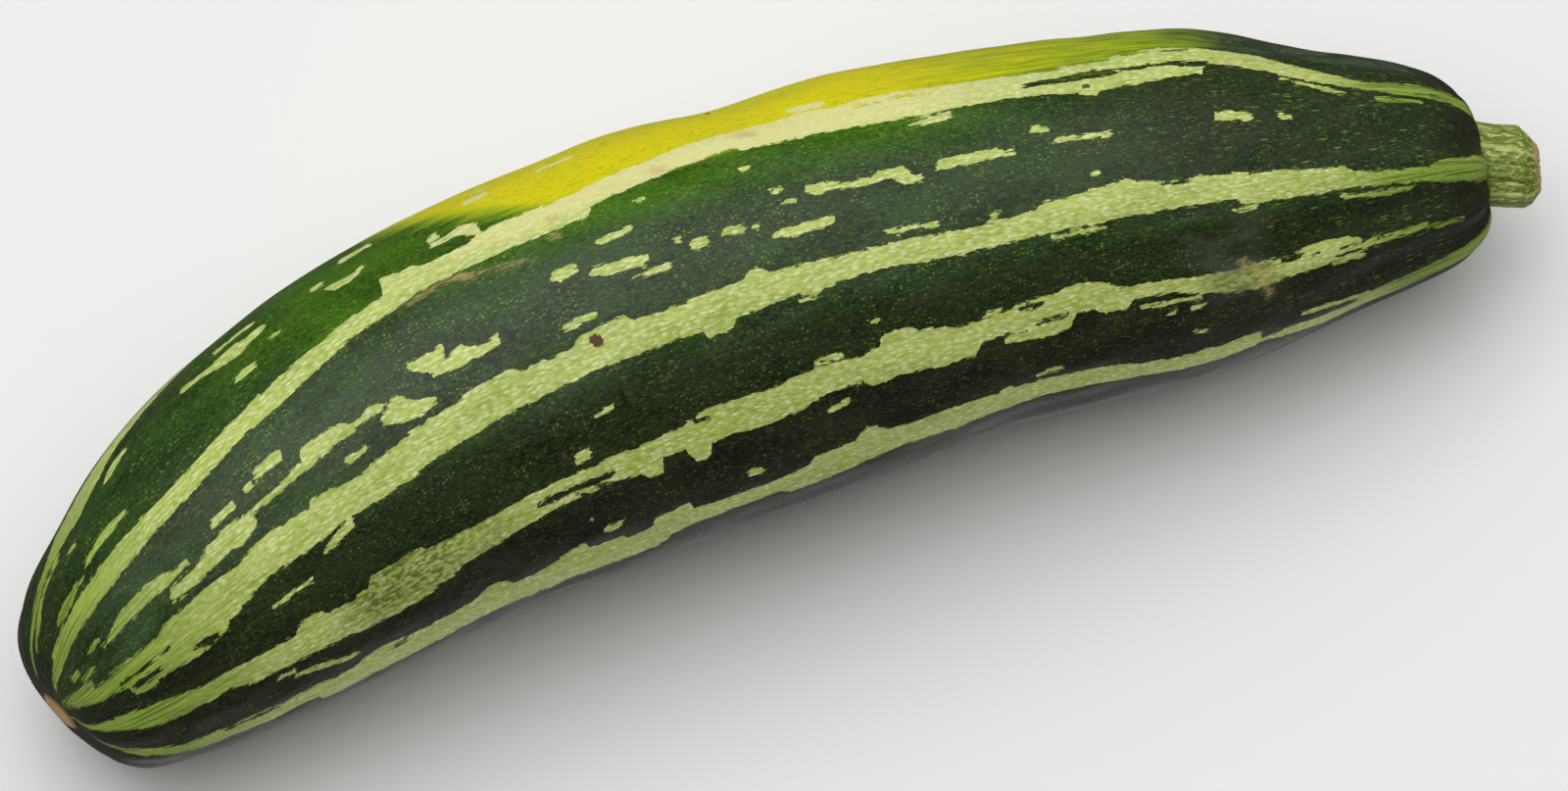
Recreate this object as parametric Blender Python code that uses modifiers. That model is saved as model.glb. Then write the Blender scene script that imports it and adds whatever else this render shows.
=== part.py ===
"""A large striped zucchini, as picked, lying on its side.

Two solids: the fruit, with the blossom scar at one end and a socket at the other, and the cut stub of its
stem, which stands in that socket. Both start as turned shapes, upright on the Z axis. Ribs and swells then
raise their surface, and each is laid out along the bent line of the fruit.

Metres, +Z up. The surface that the fruit lies on is Z = 0, and the origin is on it, under the middle of the
whole zucchini. The blossom end is at -X, the stem at +X, and the outer side of the bend faces +Y.

Distances run along the fruit's line from the blossom end. Angles run round it: 0 is the top, and positive
angles go down the inner side of the bend.
"""

import math

import bmesh
import bpy
from mathutils import Vector

MM = 0.001

# The line that the fruit bends along, seen from above
FRUIT_LENGTH = 296 * MM
STEM_HEADING = math.radians(-9.8)
FRUIT_TURN = math.radians(36.2)
TURN_POWER = 2.3
BLOSSOM_POINT = Vector((-149.5 * MM, -23.5 * MM))
LINE_STEP = 1 * MM

# The girth: a blunt blossom cap, a belly, a slow taper and a rounded shoulder
BELLY_RADIUS = 39.2 * MM
BELLY_DISTANCE = 134 * MM
CAP_LENGTH = 187 * MM
CAP_POWER = 3.1
TAPER_SHARE = 0.322
TAPER_POWER = 1.6
SHOULDER_LENGTH = 65 * MM
SHOULDER_RISE = 1.25
SHOULDER_ROUND = 5.4

# The fruit lies on a flat underside, and its line drops towards the blossom end
UNDERSIDE_DEPTH = 0.6 * MM
DROP_PER_METRE = 0.66

# The blossom scar, in a shallow dimple, and how far they lean and sit towards the outer side
DIMPLE_RADIUS = 13 * MM
DIMPLE_DEPTH = 0.9 * MM
SCAR_RADIUS = 4.4 * MM
SCAR_HEIGHT = 0.8 * MM
SCAR_SHIFT = 1.2 * MM
SCAR_SHIFT_RADIUS = 18 * MM
TIP_LEAN = 0.045
TIP_LENGTH = 45 * MM

# The socket at the shoulder, which the stem stands in, and how far it sits towards the inner side
RIM_RADIUS = 10.6 * MM
SOCKET_MOUTH_RADIUS = 9.2 * MM
SOCKET_FLOOR_RADIUS = 8.8 * MM
SOCKET_DEPTH = 3.4 * MM
SOCKET_BLEND = 4 * MM
SOCKET_SHIFT = 1.2 * MM
SOCKET_SHIFT_RADIUS = 12 * MM

# Ribs: six faint ones along the belly, and puckers round the blossom scar, as shares of the radius
RIB_COUNT = 6
RIB_ANGLE = math.radians(5)
RIB_HEIGHT = 0.006
PUCKER_HEIGHT = 0.02
PUCKER_LENGTH = 30 * MM

# Creases between the lobes of the shoulder: where they are, in degrees, and how they cut in
CREASES = (-160, -124, -86, -48, 9, 43, 68, 104, 142)
CREASE_WIDTH = 9
CREASE_START = 201 * MM
CREASE_LENGTH = 89 * MM
CREASE_DEPTH = 0.06
LOBE_RISE = 0.35
CREASE_PUSH = 1 * MM
CREASE_PUSH_START = 280 * MM
CREASE_PUSH_LENGTH = 14 * MM

# The stem
STEM_LENGTH = 15.4 * MM
STEM_RADIUS = 7.8 * MM
STEM_TURN = math.radians(-18)
STEM_TURN_LENGTH = 6 * MM
STEM_LINE_SHARE = 0.8
STEM_BEVEL_LENGTH = 2.4 * MM
STEM_BEVEL_DEPTH = 2.6 * MM
STEM_DOME = 0.7 * MM
STEM_CUT_SLOPE = 0.14
STEM_CUT_ANGLE = math.radians(-60)
STEM_RIDGES = 5
STEM_RIDGE = 0.03
STEM_FINE_RIDGE = 0.025
SEAT_GAP = 0.3 * MM

# Fineness of the solids
FRUIT_SEGMENTS = 56
STEM_SEGMENTS = 40
BODY_RINGS = 52
MERGE_DISTANCE = 1e-6
SLOPE_STEP = 0.5 * MM

# Swells and dents of the skin: distance in mm, angle in degrees, height, reach along, reach round
SWELLS = (
    (20, -75, -1.6, 9, 30),
    (75, -70, 0.5, 16, 30),
    (125, -68, -0.5, 10, 30),
    (156, -66, -1.6, 10, 30),
    (212, -65, 0.6, 14, 30),
    (244, -65, 1.2, 9, 28),
    (270, -64, -1.6, 9, 30),
    (285, -60, -0.8, 6, 30),
    (20, 105, -0.4, 9, 30),
    (112, 108, 1.0, 10, 30),
    (150, 108, 1.0, 13, 30),
    (197, 108, -1.1, 12, 30),
    (236, 108, 0.3, 9, 30),
    (268, 108, -0.9, 9, 30),
    (291, 100, 0.5, 5, 30),
)

SKIN_COLOUR = (0.045, 0.11, 0.035, 1)
STEM_COLOUR = (0.24, 0.34, 0.09, 1)


def smooth(value):
    """0 below 0, 1 above 1, and an even rise between."""
    t = min(max(value, 0), 1)
    return t * t * (3 - 2 * t)


def heading(distance):
    """Direction of the fruit's line at this distance, as an angle from +X."""
    left = max(1 - distance / FRUIT_LENGTH, 0)
    return STEM_HEADING + FRUIT_TURN * left**TURN_POWER


def direction(angle):
    """A level unit vector, this angle from +X."""
    return Vector((math.cos(angle), math.sin(angle)))


def bent_line():
    """Points of the fruit's line, one LINE_STEP apart."""
    points = [BLOSSOM_POINT.copy()]
    for step in range(round(FRUIT_LENGTH / LINE_STEP)):
        points.append(points[-1] + LINE_STEP * direction(heading((step + 0.5) * LINE_STEP)))
    return points


LINE = bent_line()


def line_point(distance):
    """The point of the fruit's line at this distance, straight on past either end."""
    index = min(max(int(distance / LINE_STEP), 0), len(LINE) - 2)
    return LINE[index].lerp(LINE[index + 1], distance / LINE_STEP - index)


def taper(distance):
    """Share of the belly's radius that is left towards the stem."""
    past_belly = max((distance - BELLY_DISTANCE) / (FRUIT_LENGTH - BELLY_DISTANCE), 0)
    return 1 - TAPER_SHARE * past_belly**TAPER_POWER


def line_height(distance):
    """Height of the fruit's line over the surface that it lies on."""
    before_belly = max(BELLY_DISTANCE - distance, 0)
    return BELLY_RADIUS * taper(distance) - UNDERSIDE_DEPTH - DROP_PER_METRE * before_belly**2


def girth(distance):
    """Radius of the fruit at this distance, before its ribs and swells."""
    to_cap = max(1 - distance / CAP_LENGTH, 0)
    cap = (1 - to_cap**CAP_POWER) ** (1 / CAP_POWER)
    past_shoulder = max(1 - (FRUIT_LENGTH - distance) / SHOULDER_LENGTH, 0)
    shoulder = (1 - past_shoulder**SHOULDER_RISE) ** (1 / SHOULDER_ROUND)
    return BELLY_RADIUS * cap * taper(distance) * shoulder


def cap_distance(radius):
    """Distance at which the blossom cap reaches this radius."""
    return CAP_LENGTH * (1 - (1 - (radius / BELLY_RADIUS) ** CAP_POWER) ** (1 / CAP_POWER))


def rim_distance():
    """Distance at which the shoulder has come in to the rim of the socket."""
    near, far = FRUIT_LENGTH - SHOULDER_LENGTH, FRUIT_LENGTH
    for _ in range(40):
        middle = (near + far) / 2
        near, far = (middle, far) if girth(middle) > RIM_RADIUS else (near, middle)
    return near


def socket_profile():
    """(radius, distance) from the middle of the socket's floor out to just inside its rim."""
    floor = rim_distance() - SOCKET_DEPTH
    return [
        (0, floor),
        (0.6 * SOCKET_FLOOR_RADIUS, floor),
        (SOCKET_FLOOR_RADIUS, floor),
        (SOCKET_MOUTH_RADIUS, floor + 0.72 * SOCKET_DEPTH),
        ((SOCKET_MOUTH_RADIUS + RIM_RADIUS) / 2, floor + 0.97 * SOCKET_DEPTH),
    ]


def body_profile():
    """(radius, distance) from the rim of the socket to the dimple, closer together at both ends."""
    start, end = rim_distance(), cap_distance(DIMPLE_RADIUS)
    points = []
    for ring in range(BODY_RINGS):
        share = ring / BODY_RINGS
        eased = (1 - math.cos(math.pi * share)) / 2
        distance = start + (end - start) * (0.6 * eased + 0.4 * share)
        points.append((girth(distance), distance))
    return points


def blossom_profile():
    """(radius, distance) from the dimple's edge in to the middle of the scar."""
    points = []
    for share in (1, 0.85, 0.7, 0.56, 0.46, 0.38, 0.33, 0.26, 0.14, 0):
        radius = share * DIMPLE_RADIUS
        dimple = DIMPLE_DEPTH * (1 - smooth(share))
        scar = SCAR_HEIGHT * (1 - smooth((radius / SCAR_RADIUS - 0.75) / 0.4))
        points.append((radius, cap_distance(radius) + dimple - scar))
    return points


def crease_share(angle):
    """1 in the middle of a crease of the shoulder, and 0 away from all of them."""
    turned = [math.remainder(math.degrees(angle) - side, 360) / CREASE_WIDTH for side in CREASES]
    return sum(math.exp(-(turn**2)) for turn in turned)


def rib_height(distance, angle):
    """Share of the radius by which ribs, puckers and creases raise or sink the skin."""
    rib = RIB_HEIGHT * math.cos(RIB_COUNT * (angle - RIB_ANGLE))
    pucker = PUCKER_HEIGHT * smooth(1 - distance / PUCKER_LENGTH) ** 2 * math.cos(2 * RIB_COUNT * angle)
    to_shoulder = smooth((distance - CREASE_START) / CREASE_LENGTH) ** 2
    return rib + pucker + CREASE_DEPTH * to_shoulder * (LOBE_RISE - crease_share(angle))


def swell_height(distance, angle):
    """Height of the broad swells and dents at this place."""
    total = 0
    for centre, side, height, reach, spread in SWELLS:
        along = (distance / MM - centre) / reach
        turned = math.remainder(math.degrees(angle) - side, 360) / spread
        total += height * MM * math.exp(-(along**2 + turned**2) / 2)
    return total


def girth_slope(distance):
    """How fast the girth falls along the line at this distance."""
    near, far = max(distance - SLOPE_STEP, 0), min(distance + SLOPE_STEP, FRUIT_LENGTH)
    return (girth(near) - girth(far)) / (2 * SLOPE_STEP)


def fruit_place(point):
    """Where a point of the upright, round fruit goes on the ribbed, bent one."""
    distance, radius = point.z, math.hypot(point.x, point.y)
    angle = math.atan2(point.y, point.x)
    at_blossom = distance < TIP_LENGTH
    if at_blossom:
        outside = smooth((radius - SCAR_RADIUS) / (DIMPLE_RADIUS - SCAR_RADIUS))
    else:
        outside = smooth((radius - SOCKET_FLOOR_RADIUS) / SOCKET_BLEND)
    slope = girth_slope(distance)
    swell = outside * swell_height(distance, angle) / math.hypot(1, slope)
    raised = radius * (1 + outside * rib_height(distance, angle)) + swell
    inwards = raised * math.sin(angle)
    ahead = swell * slope - TIP_LEAN * inwards * max(1 - distance / TIP_LENGTH, 0) ** 2
    to_socket = smooth((distance - CREASE_PUSH_START) / CREASE_PUSH_LENGTH)
    ahead -= outside * CREASE_PUSH * to_socket * crease_share(angle)
    if at_blossom:
        inwards -= SCAR_SHIFT * (1 - smooth(radius / SCAR_SHIFT_RADIUS))
    else:
        inwards += SOCKET_SHIFT * (1 - smooth((radius - RIM_RADIUS) / SOCKET_SHIFT_RADIUS))
    turn = heading(distance)
    plan = line_point(distance) + ahead * direction(turn) + inwards * direction(turn - math.pi / 2)
    return Vector((plan.x, plan.y, max(line_height(distance) + raised * math.cos(angle), 0)))


def stem_profile():
    """(radius, distance) of the upright stem, from the middle of the cut end down to the seat."""
    top = STEM_LENGTH
    face = STEM_RADIUS - STEM_BEVEL_DEPTH
    points = [
        (0, top),
        (0.5 * face, top - 0.25 * STEM_DOME),
        (face, top - STEM_DOME),
        (STEM_RADIUS - 0.35 * STEM_BEVEL_DEPTH, top - STEM_DOME - 0.45 * STEM_BEVEL_LENGTH),
        (STEM_RADIUS, top - STEM_DOME - STEM_BEVEL_LENGTH),
    ]
    points += [(STEM_RADIUS, top * share) for share in (0.64, 0.5, 0.38, 0.26)]
    points += [(1.015 * STEM_RADIUS, 0.14 * top), (STEM_RADIUS, 0.02 * top), (0.94 * STEM_RADIUS, 0), (0, 0)]
    return points


def stem_place(point):
    """Where a point of the upright, round stem goes on the ridged, bent one, in its socket."""
    distance, radius = point.z, math.hypot(point.x, point.y)
    angle = math.atan2(point.y, point.x)
    ridges = STEM_RIDGE * math.cos(STEM_RIDGES * angle) + STEM_FINE_RIDGE * math.cos(2 * STEM_RIDGES * angle)
    raised = radius * (1 + ridges * smooth(distance / (0.25 * STEM_LENGTH)))
    sloped = smooth(distance / STEM_LENGTH * 2 - 1) * STEM_CUT_SLOPE
    distance -= sloped * raised * math.cos(angle - STEM_CUT_ANGLE)
    bend = STEM_TURN * smooth(distance / STEM_TURN_LENGTH)
    seat = rim_distance() - SOCKET_DEPTH + SEAT_GAP
    plan = line_point(seat) + distance * direction(STEM_HEADING + STEM_LINE_SHARE * bend)
    plan += SOCKET_SHIFT * direction(STEM_HEADING - math.pi / 2)
    plan += raised * math.sin(angle) * direction(STEM_HEADING + bend - math.pi / 2)
    return Vector((plan.x, plan.y, line_height(seat) + raised * math.cos(angle)))


def turned(name, profile, segments, collection):
    """An object whose mesh is this profile of (radius, height), from the top down, turned round the Z axis."""
    outline = bpy.data.meshes.new(name)
    corners = [(radius, 0, height) for radius, height in profile]
    outline.from_pydata(corners, [(i, i + 1) for i in range(len(corners) - 1)], [])
    obj = bpy.data.objects.new(name, outline)
    collection.objects.link(obj)
    screw = obj.modifiers.new("Turned", "SCREW")
    screw.axis = "Z"
    screw.steps = screw.render_steps = segments
    screw.use_merge_vertices = True
    screw.merge_threshold = MERGE_DISTANCE
    evaluated = obj.evaluated_get(bpy.context.evaluated_depsgraph_get())
    obj.data = bpy.data.meshes.new_from_object(evaluated)
    obj.modifiers.clear()
    bpy.data.meshes.remove(outline)
    obj.data.name = name
    return obj


def lay_out(obj, place):
    """Moves each point of the upright shape to its place on the zucchini."""
    shape = bmesh.new()
    shape.from_mesh(obj.data)
    bmesh.ops.remove_doubles(shape, verts=shape.verts, dist=MERGE_DISTANCE)
    for vertex in shape.verts:
        vertex.co = place(vertex.co)
    shape.to_mesh(obj.data)
    shape.free()
    obj.data.shade_smooth()


def material(name, colour, roughness):
    """A plain Principled material."""
    made = bpy.data.materials.new(name)
    made.use_nodes = True
    shader = made.node_tree.nodes["Principled BSDF"]
    shader.inputs["Base Color"].default_value = colour
    shader.inputs["Roughness"].default_value = roughness
    shader.inputs["Metallic"].default_value = 0
    return made


def fruit(collection):
    """The fruit: socket, shoulder, body and blossom end in one solid."""
    profile = socket_profile() + body_profile() + blossom_profile()
    obj = turned("fruit", profile, FRUIT_SEGMENTS, collection)
    lay_out(obj, fruit_place)
    obj.data.materials.append(material("skin", SKIN_COLOUR, 0.35))


def stem(collection):
    """The stub of the stem, cut off a little above the shoulder."""
    obj = turned("stem", stem_profile(), STEM_SEGMENTS, collection)
    lay_out(obj, stem_place)
    obj.data.materials.append(material("stem", STEM_COLOUR, 0.6))


def main():
    for old in list(bpy.data.objects):
        bpy.data.objects.remove(old)
    collection = bpy.data.collections.new("zucchini")
    bpy.context.scene.collection.children.link(collection)
    fruit(collection)
    stem(collection)


main()
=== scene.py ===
"""The looks of a large striped zucchini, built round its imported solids.

Two pieces replace the two solids of the frame: the fruit, with finer relief and its skin, and the cut stub of
its stem. Each starts as a sphere whose rings are laid on a turned profile, and a formula then ribs, bends and
lays it out, as in the part's own source. Metres, +Z up. Sizes that end in _mm are millimetres, and those that
end in _deg are degrees.

Places on the skin are given by two numbers. The distance runs along the fruit's line from the blossom end,
and the angle runs round it: 0 is the top, and positive angles go down the inner side of the bend.
"""

import logging
import math
from dataclasses import dataclass, field
from enum import Enum
from typing import Any, Callable, Iterable, Sequence

import bpy
import numpy as np
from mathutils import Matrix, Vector


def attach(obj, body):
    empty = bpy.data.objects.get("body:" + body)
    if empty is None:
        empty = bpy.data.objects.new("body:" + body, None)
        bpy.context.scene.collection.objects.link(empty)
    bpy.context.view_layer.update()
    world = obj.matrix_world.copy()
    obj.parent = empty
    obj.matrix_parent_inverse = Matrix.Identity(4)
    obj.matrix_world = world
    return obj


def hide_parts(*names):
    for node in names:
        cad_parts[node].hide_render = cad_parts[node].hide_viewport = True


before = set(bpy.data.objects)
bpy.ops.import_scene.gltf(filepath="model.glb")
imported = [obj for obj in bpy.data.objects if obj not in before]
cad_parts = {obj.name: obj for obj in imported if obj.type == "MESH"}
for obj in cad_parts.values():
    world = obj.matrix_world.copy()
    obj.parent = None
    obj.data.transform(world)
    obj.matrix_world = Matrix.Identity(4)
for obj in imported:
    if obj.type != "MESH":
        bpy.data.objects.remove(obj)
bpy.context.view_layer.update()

LOG = logging.getLogger("zucchini")
MM = 0.001

Array = np.ndarray
Span = tuple[float, float]
Station = tuple[float, float, float]
Colour = tuple[float, float, float, float]


def srgb(red: int, green: int, blue: int) -> Colour:
    """A colour in Blender's linear values.

    Args:
        red: Red as a screen shows it, 0 to 255.
        green: Green, the same way.
        blue: Blue, the same way.

    Returns:
        The linear colour, with alpha 1.
    """
    shares = [value / 255 for value in (red, green, blue)]
    linear = [share / 12.92 if share <= 0.04045 else ((share + 0.055) / 1.055) ** 2.4 for share in shares]
    return (linear[0], linear[1], linear[2], 1.0)


def smooth(value: Array | float) -> Array:
    """0 below 0, 1 above 1, and an even rise between."""
    t = np.clip(value, 0, 1)
    return t * t * (3 - 2 * t)


def round_trip(angle_deg: Array, centre_deg: float) -> Array:
    """The angle from a centre, in degrees, between -180 and 180."""
    return (angle_deg - centre_deg + 180) % 360 - 180


# Shader expressions


class Value:
    """One output socket. Sums and products of these add Math nodes to its tree."""

    def __init__(self, tree: "Tree", socket: bpy.types.NodeSocket) -> None:
        """Stands for one output socket of a tree."""
        self.tree = tree
        self.socket = socket

    def math(self, operation: str, *others: "Value | float", clamp: bool = False) -> "Value":
        """A Math node on this value and others.

        Args:
            operation: The Math node's operation.
            others: What goes into its further sockets.
            clamp: Whether the result is kept between 0 and 1.

        Returns:
            The node's result.
        """
        settings = {"operation": operation, "use_clamp": clamp}
        return self.tree.node("ShaderNodeMath", settings, dict(enumerate((self, *others))))

    def __add__(self, other: "Value | float") -> "Value":
        """Sum."""
        return self.math("ADD", other)

    __radd__ = __add__

    def __mul__(self, other: "Value | float") -> "Value":
        """Product."""
        return self.math("MULTIPLY", other)

    __rmul__ = __mul__

    def __sub__(self, other: "Value | float") -> "Value":
        """Difference."""
        return self.math("SUBTRACT", other)

    def __rsub__(self, other: float) -> "Value":
        """Difference from a number."""
        return (self * -1.0) + other

    def __truediv__(self, other: "Value | float") -> "Value":
        """Quotient."""
        return self.math("DIVIDE", other)

    def band(self, low: float, high: float) -> "Value":
        """An even, clamped rise from 0 to 1.

        Args:
            low: Where it is 0; it may be over high.
            high: Where it is 1.

        Returns:
            The share that the value has risen.
        """
        settings = {"interpolation_type": "SMOOTHSTEP", "clamp": True}
        ends = {"Value": self, "From Min": low, "From Max": high, "To Min": 0.0, "To Max": 1.0}
        if low < high:
            return self.tree.node("ShaderNodeMapRange", settings, ends)
        return 1.0 - self.band(high, low)


class Tree:
    """The node tree of a material or of the world."""

    def __init__(self, owner: bpy.types.Material | bpy.types.World, shader: str = "Principled BSDF") -> None:
        """Takes up the nodes of a material or a world.

        Args:
            owner: The material or world.
            shader: The name of its shader node.
        """
        owner.use_nodes = True
        self.owner = owner
        self.nodes = owner.node_tree.nodes
        self.links = owner.node_tree.links
        self.shader = self.nodes[shader]

    def put(self, socket: bpy.types.NodeSocket, value: "Value | float | Sequence[float]") -> None:
        """Links a value to a socket, or sets the number or colour on it.

        Args:
            socket: The input socket.
            value: What goes into it.
        """
        if isinstance(value, Value):
            self.links.new(value.socket, socket)
        else:
            socket.default_value = value

    def node(
        self, kind: str, settings: dict[str, Any], inputs: dict[str | int, Any], output: str | int = 0
    ) -> Value:
        """Adds a node.

        Args:
            kind: The node's type.
            settings: Its settings, which are set first.
            inputs: Values or links by socket name or number.
            output: The output socket that is wanted.

        Returns:
            That output.
        """
        made = self.nodes.new(kind)
        for key, value in settings.items():
            setattr(made, key, value)
        for key, value in inputs.items():
            self.put(made.inputs[key], value)
        return Value(self, made.outputs[output])

    def attribute(self, name: str, output: str = "Fac") -> Value:
        """A number, or with output "Vector" a vector, that the mesh holds."""
        return self.node("ShaderNodeAttribute", {"attribute_name": name}, {}, output)

    def mix(self, factor: "Value | float", first: "Value | Colour", second: "Value | Colour") -> Value:
        """Colour between two colours.

        Args:
            factor: Share of the second colour.
            first: The colour at 0.
            second: The colour at 1.

        Returns:
            The mixed colour.
        """
        return self.node("ShaderNodeMix", {"data_type": "RGBA"}, {0: factor, 6: first, 7: second}, 2)


class GrainTree(Tree):
    """The node tree of a material whose grain follows the piece.

    A size has two numbers: along the piece and across it.
    """

    def __init__(self, name: str) -> None:
        """Makes the material, and reads the straightened coordinates that the piece keeps, in millimetres."""
        super().__init__(bpy.data.materials.new(name))
        self.place = self.attribute("straight", "Vector")

    def grain(self, size_mm: Span, detail: float = 1.0, warp: float = 0.0) -> Value:
        """Noise whose lumps have this size.

        Args:
            size_mm: The lumps' size.
            detail: Octaves of finer noise.
            warp: How far the noise bends itself.

        Returns:
            The noise, around 0.5.
        """
        scaled = self.scaled(size_mm)
        inputs = {"Vector": scaled, "Scale": 1.0, "Detail": detail, "Roughness": 0.5, "Distortion": warp}
        return self.node("ShaderNodeTexNoise", {"noise_dimensions": "3D"}, inputs, 0)

    def scaled(self, size_mm: Span) -> Value:
        """The coordinates, counted in steps of this size."""
        steps = (1 / size_mm[0], 1 / size_mm[1], 1 / size_mm[1])
        return self.node("ShaderNodeVectorMath", {"operation": "MULTIPLY"}, {0: self.place, 1: steps})

    def cells(self, size_mm: Span, output: str = "Distance") -> Value:
        """Cells of this size: the distance to each one's middle, or as "Color" its own random colour."""
        inputs = {"Vector": self.scaled(size_mm), "Scale": 1.0, "Randomness": 1.0}
        return self.node("ShaderNodeTexVoronoi", {"voronoi_dimensions": "3D"}, inputs, output)

    def lots(self, size_mm: Span) -> Value:
        """A random number from 0 to 1 for each of the same cells."""
        return self.node("ShaderNodeSeparateColor", {}, {0: self.cells(size_mm, "Color")}, 0)

    def bump(self, height: Value, strength: float, rise: float) -> None:
        """Gives the shader a fine relief.

        Args:
            height: The relief's height, around 0 to 1.
            strength: How much of the relief shows.
            rise: Height in metres that a step of 1 stands for.
        """
        inputs = {"Strength": strength, "Distance": rise, "Height": height}
        normal = self.node("ShaderNodeBump", {}, inputs, "Normal")
        self.put(self.shader.inputs["Normal"], normal)


# Turned shapes


@dataclass
class Turned:
    """A sphere whose rings lie on a turned profile, before it is laid out.

    Attributes:
        obj: The object.
        radius: Each vertex's distance from the axis.
        height: Each vertex's height along the axis.
        angle: Each vertex's angle round the axis.
        arc: Each vertex's way along the profile from its last point.
    """

    obj: bpy.types.Object
    radius: Array
    height: Array
    angle: Array
    arc: Array


def respaced(profile: Array, rings: int, crowding: Callable[[Array], Array]) -> Array:
    """Points along a profile, closer together where the crowding is higher.

    Args:
        profile: Points (radius, height).
        rings: How many steps the result has.
        crowding: Crowding at each height.

    Returns:
        rings + 1 rows of radius, height and way along the profile from its last point.
    """
    steps = np.linalg.norm(np.diff(profile, axis=0), axis=1)
    arc = np.concatenate([[0], np.cumsum(steps)])
    weight = steps * crowding((profile[1:, 1] + profile[:-1, 1]) / 2)
    travelled = np.concatenate([[0], np.cumsum(weight)])
    wanted = np.linspace(0, travelled[-1], rings + 1)
    columns = (profile[:, 0], profile[:, 1], arc[-1] - arc)
    return np.stack([np.interp(wanted, travelled, column) for column in columns], axis=1)


def turned(name: str, rings: Array, segments: int, crowd: float, crowd_angle: float) -> Turned:
    """Adds a sphere and reads off where each of its vertices lies on a turned profile.

    Args:
        name: The object's name.
        rings: Rows of radius, height and arc from the top of the profile down.
        segments: Vertices in each ring.
        crowd: How much closer than even the segments are at crowd_angle, from 0 to 1.
        crowd_angle: The angle where the segments are closest together, in radians.

    Returns:
        The object with its turned coordinates.
    """
    bpy.ops.object.select_all(action="DESELECT")
    count = len(rings) - 1
    bpy.ops.mesh.primitive_uv_sphere_add(segments=segments, ring_count=count, radius=1)
    obj = bpy.context.object
    obj.name = obj.data.name = name
    corners = np.empty(len(obj.data.vertices) * 3, np.float32)
    obj.data.vertices.foreach_get("co", corners)
    x, y, z = corners.reshape(-1, 3).astype(float).T
    ring = np.rint(np.arctan2(np.hypot(x, y), z) / math.pi * count).astype(int)
    even = np.arctan2(y, x)
    angle = even - crowd * np.sin(even - crowd_angle)
    radius, height, arc = rings[ring].T
    return Turned(obj, radius, height, angle, arc)


def lay_out(obj: bpy.types.Object, points: Array) -> None:
    """Moves the vertices to their places, and shades the piece smooth.

    Args:
        obj: The piece.
        points: A place for each vertex.
    """
    obj.data.vertices.foreach_set("co", points.astype(np.float32).ravel())
    for attribute in [a for a in obj.data.attributes if a.name.startswith("UV")]:
        obj.data.attributes.remove(attribute)
    obj.data.update()
    obj.data.shade_smooth()


def store(obj: bpy.types.Object, name: str, values: Array) -> None:
    """Keeps values on the vertices, under a name that a material reads.

    Args:
        obj: The piece.
        name: The attribute's name.
        values: A number or a vector for each vertex.
    """
    kind, key = ("FLOAT_VECTOR", "vector") if values.ndim > 1 else ("FLOAT", "value")
    attribute = obj.data.attributes.new(name, kind, "POINT")
    attribute.data.foreach_set(key, values.astype(np.float32).ravel())


# The fruit's form


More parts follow.
